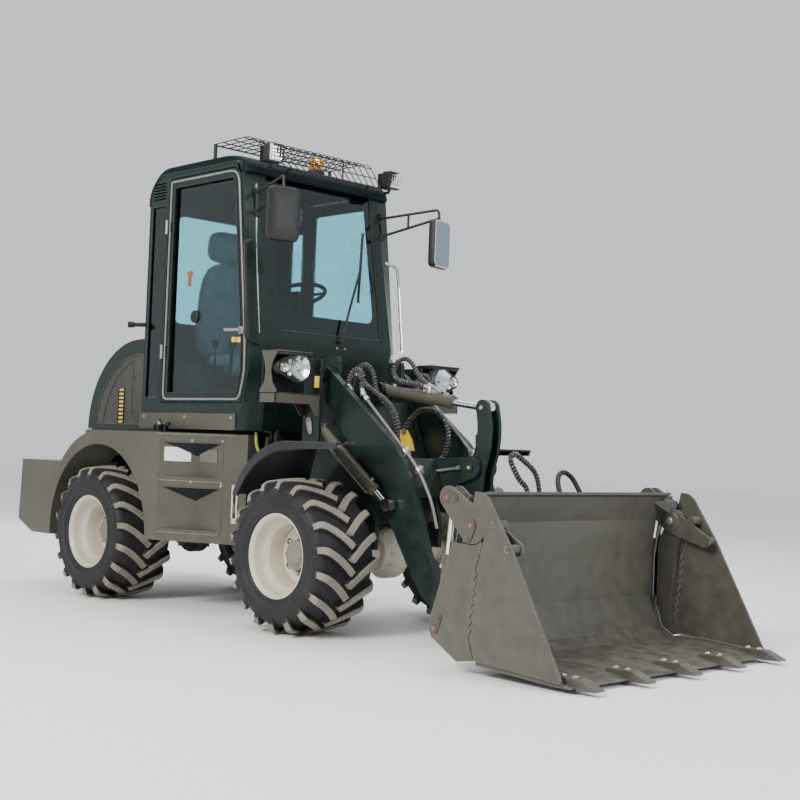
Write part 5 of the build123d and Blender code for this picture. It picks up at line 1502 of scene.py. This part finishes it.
bm = bmesh.new()
barrel_pipe = [(1632, 958), (1641, 930), (1655, 917), (1935, 714), (1952, 716), (1960, 738)]
for y in (-350, 350):
    tube_into(bm, rounded_path(upright_line(y, barrel_pipe), 0.008), 0.006, 10)
fitted("lift_cylinder_pipes", bm, "lift_barrels", "chrome", bare_steel)
bm = bmesh.new()
for y in (-82, 82):
    tube_into(bm, [(2065, y, 824), (2318, y, 859)], 0.008, 10)
    tube_into(bm, [(2304, y, 857), (2322, y, 860)], 0.012, 6)
fitted("grease_tubes", bm, "boom", "chrome", bare_steel)
bm = bmesh.new()
sheet = [(95, 1046), (172, 1046), (190, 1000), (186, 935), (104, 935)]
loft_into(bm, [[(1622 + (1196 - z) * 0.418 + proud, y, z) for y, z in sheet] for proud in (1.5, 4.0)])
fitted("web_plate", bm, "front_frame", "trim_paint", yellow_plate, smooth=False)

PIPE_Y = 252
for name, side in (("right", -1), ("left", 1)):
    bm = bmesh.new()
    wrapped_hose(bm, upright_line(side * PIPE_Y, ARM_ROUTE), 0.0115)
    fitted(f"arm_loop_{name}", bm, "boom", "black_plastic", spiral_wrap, bare_steel, rubber_trim)
    bm = bmesh.new()
    tube_into(bm, rounded_path(upright_line(side * PIPE_Y, ARM_RUN), 0.12, 8), 0.0085, 12)
    along = Vector((0.71, 0, -0.70)) * 0.012
    for x, z in ((1800, 1199), ARM_RUN[1], ARM_RUN[2]):
        middle = spot(x, side * PIPE_Y, z)
        tube_into(bm, [middle - along, middle + along], 0.0145, 6, 1)
    for x, z in ARM_RUN[1:3]:
        block_into(bm, (x - 18, side * 234, z - 20), (x + 18, side * 262, z + 20), 0.003, material=1)
        for shift in (-1, 1):
            bolt = (x + shift * 11, side * 235, z - shift * 12)
            button_into(bm, bolt, (0, -side, 0), 0.006, 0.006, 0.004, 0.008, 6, 1)
    fitted(f"arm_pipe_{name}", bm, "boom", "trim_paint", pipe_paint, bare_steel,
           instead="boom_pipes" if side == 1 else None)


# ------------------------------------------------------------------ cylinders
# Fittings on the olive barrels: a stepped gland and a collar, hexagon ports, and
# a clipped steel feed pipe along each lift barrel.
for name, body, base, eye, y_list, radius, end in (
    ("lift", "lift_barrels", (1503, 1071), (2070, 661), (-335, 335), 28, 590),
    ("tilt", "tilt_barrel", (1673, 1256), (2420, 1163), (0,), 32, 520),
    ("jaw", "jaw_barrels", (2848, 175), (2901, 745), (-740, 740), 25, 320),
):
    bm = bmesh.new()
    along = Vector((eye[0] - base[0], 0, eye[1] - base[1])).normalized()
    up = Vector((-along.z, 0, along.x))
    if up.z < 0:
        up = -up
    size = radius / 1000
    gland = [(size - 0.001, 0), (size + 0.004, 0.002), (size + 0.004, 0.026), (size - 0.004, 0.034),
             (size - 0.010, 0.036)]
    collar = [(size - 0.001, 0), (size + 0.0025, 0.004), (size + 0.0025, 0.012), (size - 0.001, 0.016)]
    for y in y_list:
        foot = spot(base[0], y, base[1])

        def at(reach, rise=0.0, aside=0.0):
            """Point along the barrel from its foot, off its axis by the rise and to one side."""
            return foot + (along * reach + up * rise + Vector((0, aside, 0))) / 1000

        turned_into(bm, at(end - 34), along, gland, 36)
        turned_into(bm, at(44), along, collar, 36)
        if name == "lift":
            aside = 30 if y < 0 else -30
            pipe = [at(70, -18, aside * 0.9), at(78, -40, aside * 0.6), at(120, -42, aside * 0.5),
                    at(end - 90, -42, aside * 0.5), at(end - 50, -26, aside * 0.4)]
            tube_into(bm, rounded_path(pipe, 0.02), 0.006, 10, 1)
            for reach in (180, 420):
                clip = [at(reach, -42, aside * 0.5), at(reach + 16, -42, aside * 0.5)]
                tube_into(bm, clip, 0.010, 8, 1)
        for reach in (70, end - 56):
            tube_into(bm, [at(reach, radius - 4), at(reach, radius + 11)], 0.011, 6, 1)
    fitted(f"{name}_cylinder_fittings", bm, body, "trim_paint", olive_paint, bare_steel)


# ------------------------------------------------------------------ bucket and clam
# Welded satin olive steel, dusty on the floor: beads along the side joints, a
# corner gusset and edge plates inside each side, pivot hubs and tooth bolts.
weld_bead = finish_material("weld_bead", (0.13, 0.125, 0.11), 0.4, metallic=0.3, dust=0.2, wear_and_highlight=0.2,
                            grain=200, bump=0.6)
bm = bmesh.new()
for side in (-1, 1):
    tube_into(bm, upright_line(side * 767, [(3085, 68), (3250, 58), (3480, 44)]), 0.005, 6)
    tube_into(bm, [(3496, side * y, 38) for y in (20, 400, 760)], 0.003, 6)
fitted("clam_welds", bm, "jaw", "trim_paint", weld_bead)
bm = bmesh.new()
inner_line = [(3064, 56), (2994, 97), (2936, 252), (2936, 448), (2965, 635), (3010, 735)]
back_line = [(2933, 250), (2933, 450), (2962, 640), (3016, 756)]
short_line = [(2933, 250), (2933, 450), (2945, 540)]
gusset = [(2972, 728, 650), (3012, 728, 742), (3070, 728, 735), (3052, 728, 655), (3000, 610, 728)]
for side in (-1, 1):
    tube_into(bm, [(x + 4, side * 727, z + 2) for x, z in inner_line], 0.006, 6)
    part = bmesh.new()
    verts = [part.verts.new(spot(x, side * y, z)) for x, y, z in gusset]
    for corners in ((0, 1, 2, 3), (0, 1, 4), (1, 2, 4), (2, 3, 4), (3, 0, 4)):
        part.faces.new([verts[i] for i in corners])
    mend_normals(part)
    merge(bm, part, None, 1)
    for inner, line in ((700, short_line), (731, back_line)):
        outline = line + [(x - 6, z) for x, z in reversed(line)]
        prism_into(bm, outline, side * inner, side * 769.5, material=1)
fitted("bucket_welds", bm, "bucket", "trim_paint", weld_bead, bucket_paint)
PIVOT_X, PIVOT_Z = 3045, 631
hub_plate = [(0.050, -0.001), (0.050, 0.003), (0.046, 0.005), (0, 0.005)]
for name, side in (("right", -1), ("left", 1)):
    bm = bmesh.new()
    turned_into(bm, (PIVOT_X, side * 706, PIVOT_Z), (0, -side, 0), hub_plate, 40)
    button_into(bm, (PIVOT_X, side * 701, PIVOT_Z), (0, -side, 0), 0.020, 0.008, 0.016, 0.010, 28, 1)
    fitted(f"clam_hub_{name}", bm, "jaw", "trim_paint", bucket_paint, bare_steel)
heads = [((x, y, 61), (-0.09, 0, 1)) for y in (-707, -353, 0, 353, 707) for x in (3500, 3560)]
bolt_heads("tooth_bolts", "jaw", heads, 0.013, 0.007, bare_steel)
heads = [((x, side * 783, z), (0, side, 0)) for side in (-1, 1) for x, z in ((3245, 545), (3165, 640))]
bolt_heads("spacer_plugs", "jaw", heads, 0.012, 0.003, bucket_paint, sides=20)


# ------------------------------------------------------------------ roof rack
# Cage of bent black wire over the roof: long wires rounded over the front edge
# and cross wires welded under them, on two short posts and two front clips.
LONG_WIRES = 17
bm = bmesh.new()
for k in range(LONG_WIRES):
    share = -1 + 2 * k / (LONG_WIRES - 1)
    wire = [(646, 446 * share, 2655), (1000, 446 * share, 2658), (1166, 388 * share, 2480)]
    tube_into(bm, rounded_path(wire, 0.07, 6), 0.0032, 6)
for x, y, z, thick in (
    (646, 446, 2655, 0.0048), (740, 446, 2655, 0.0032), (834, 446, 2656, 0.0032), (928, 446, 2657, 0.0032),
    (1030, 435, 2624, 0.0032), (1098, 412, 2552, 0.0032), (1166, 389, 2480, 0.0052),
):
    tube_into(bm, [(x, -y, z - 4), (x, y, z - 4)], thick, 8)
for side in (-1, 1):
    for start, end, y, radius, sides in (
        ((650, 2538), (650, 2655), 440, 0.011, 12),
        ((650, 2538), (650, 2552), 440, 0.020, 12),
        ((1165, 2480), (1112, 2452), 300, 0.009, 8),
        ((930, 2538), (930, 2652), 300, 0.005, 8),
    ):
        tube_into(bm, upright_line(side * y, (start, end)), radius, sides)
fitted("wire_rack", bm, "frame", "black_plastic", black_plastic, instead="roof_rack")


# ------------------------------------------------------------------ lamps and mirrors
# Square LED work lamps with cooling fins and a grid of small reflectors, an
# amber beacon on a black foot, and moulded mirrors with bluish glass on bent arms.
CELL_PITCH = 19
cell = [(0.0, -0.001), (0.006, 0.0), (0.0088, 0.004), (0.0088, -0.004)]
steps = [(i - 1.5) * CELL_PITCH for i in range(4)]
bm = bmesh.new()
for side in (-1, 1):
    for across in steps:
        for rise in steps:
            place = (1222.5, side * 452 + across, 2531 + rise)
            turned_into(bm, place, (1, side * 0.1, -0.07), cell, 12)
    block_into(bm, (1219.5, side * 452 - 44, 2487), (1221.5, side * 452 + 44, 2575), 0.0005, material=1)
fitted("led_reflectors", bm, "frame", "chrome", chrome, white_plate)
bm = bmesh.new()
for y in (-447, 447):
    for x in range(1128, 1169, 8):
        block_into(bm, (x - 2, y - 44, 2486), (x, y + 44, 2574), 0.001)
fitted("lamp_fins", bm, "frame", "black_plastic", black_plastic)
UPWARD = (0, 0, 1)
beacon_base, beacon_top = (925, 90, 2540), (925, 90, 2562)
bm = bmesh.new()
button_into(bm, beacon_base, UPWARD, 0.052, 0.016, 0.047, 0.022, 40)
button_into(bm, beacon_top, UPWARD, 0.016, 0.030, 0.010, 0.044, 20, 1)
fitted("beacon_foot", bm, "frame", "black_plastic", black_plastic, bare_steel)
ribs = [(0.043 + (0.001 if k % 2 else 0.0), 0.0005 + 0.007 * k) for k in range(9)]
crown = [(0.040, 0.066), (0.030, 0.072), (0.014, 0.0745), (0.0, 0.075)]
bm = bmesh.new()
turned_into(bm, beacon_top, UPWARD, [(0.044, 0.0)] + ribs + crown, 40)
fitted("beacon_dome", bm, "frame", "amber", amber_lens, instead="beacon")

mirror_glass = finish_material("mirror_glass", (0.30, 0.36, 0.42), 0.05, metallic=1.0, dust=0.15, wear_and_highlight=0.0,
                               variation=0.1, bump=0.01)
for name, side in (("right", -1), ("left", 1)):
    lean = Matrix.Translation(spot(1473, side * 592, 2146)) @ Matrix.Rotation(math.radians(14 * side), 4, "Z")
    bm = bmesh.new()
    back = rounded_pane(-91, -142, 91, 142, 36, 8)
    sections = ((-0.0205, 0.93), (-0.0215, 0.97), (-0.012, 1.0), (0.006, 1.0), (0.016, 0.97), (0.0195, 0.9),
                (0.0198, 0.4))
    loft_into(bm, [[lean @ Vector((x, a / 1000 * share, b / 1000 * share)) for a, b in back]
                   for x, share in sections])
    pane = rounded_pane(-80, -131, 80, 131, 30, 8)
    for way in (-1, 1) if side > 0 else (-1,):
        def glass_place(a, b, depth):
            return lean @ Vector((way * (0.0200 + depth / 1000), a / 1000, b / 1000))

        if way > 0:
            band_into(bm, rounded_pane(-86, -137, 86, 137, 33, 8), pane, glass_place, 3.5, 2)
        loft_into(bm, [[glass_place(a, b, depth) for a, b in pane] for depth in (1.2, 0.0)], 1)
    fitted(f"mirror_{name}", bm, "frame", "black_plastic", black_plastic, mirror_glass, chrome, sharp=40)
bm = bmesh.new()
upper_arm = [(1060, 470, 2316), (1100, 478, 2318), (1462, 590, 2352), (1470, 592, 2262)]
lower_arm = [(1080, 474, 2214), (1110, 480, 2212), (1466, 590, 2300)]
for side in (-1, 1):
    for arm, bend in ((upper_arm, 0.026), (lower_arm, 0.014)):
        tube_into(bm, rounded_path([(x, side * y, z) for x, y, z in arm], bend), 0.008, 10)
    tube_into(bm, [(1270, side * 531, 2250), (1270, side * 531, 2334)], 0.007, 10)
    tube_into(bm, [(1104, side * 479, 2190), (1104, side * 479, 2340)], 0.010, 12)
    for z in (2200, 2330):
        block_into(bm, (1078, side * 458, z - 16), (1118, side * 490, z + 16), 0.004)
fitted("mirror_arms", bm, "frame", "black_plastic", black_plastic, instead="mirrors")


# ------------------------------------------------------------------ centre hinge hoses
# Loose-looking rubber feed hoses, brass unions and dark guard plates between
# the cab floor and the front frame, with filler strips under the cab and hood.
blue_cap = finish_material("blue_cap", (0.02, 0.07, 0.16), 0.4, dust=0.3, wear_and_highlight=0.1)
lime_hose = finish_material("lime_hose", (0.28, 0.34, 0.02), dust=0.3, wear_and_highlight=0.2)
bm = bmesh.new()
block_into(bm, (1020, -470, 772), (1028, 470, 1008), 0.002)
for side in (-1, 1):
    block_into(bm, (-560, side * 418, 984), (120, side * 428, 1004), 0.002)
    block_into(bm, (172, side * 440, 972), (1060, side * 448, 1009), 0.002)
for x, y, z in ((1150, -360, 900), (1160, -330, 930), (1165, -395, 872), (1140, -300, 960)):
    hose = [(x, y + 10, z + 105), (x + 12, y, z + 20), (x + 40, y + 40, z - 60), (x - 20, y + 110, z - 120)]
    tube_into(bm, smooth_path(hose), 0.011, 8)
lime_route = [(1118, -430, 1004), (1124, -426, 930), (1136, -400, 880), (1128, -330, 850)]
tube_into(bm, smooth_path(lime_route), 0.009, 8, 3)
for y in (-350, -310):
    tube_into(bm, [(1176, y, 912), (1176, y, 946)], 0.016, 6, 1)
tube_into(bm, [(1190, -260, 860), (1190, -260, 900)], 0.036, 20, 2)
fitted("feed_hoses", bm, "frame", "black_plastic", rubber_trim, brass, blue_cap, lime_hose)
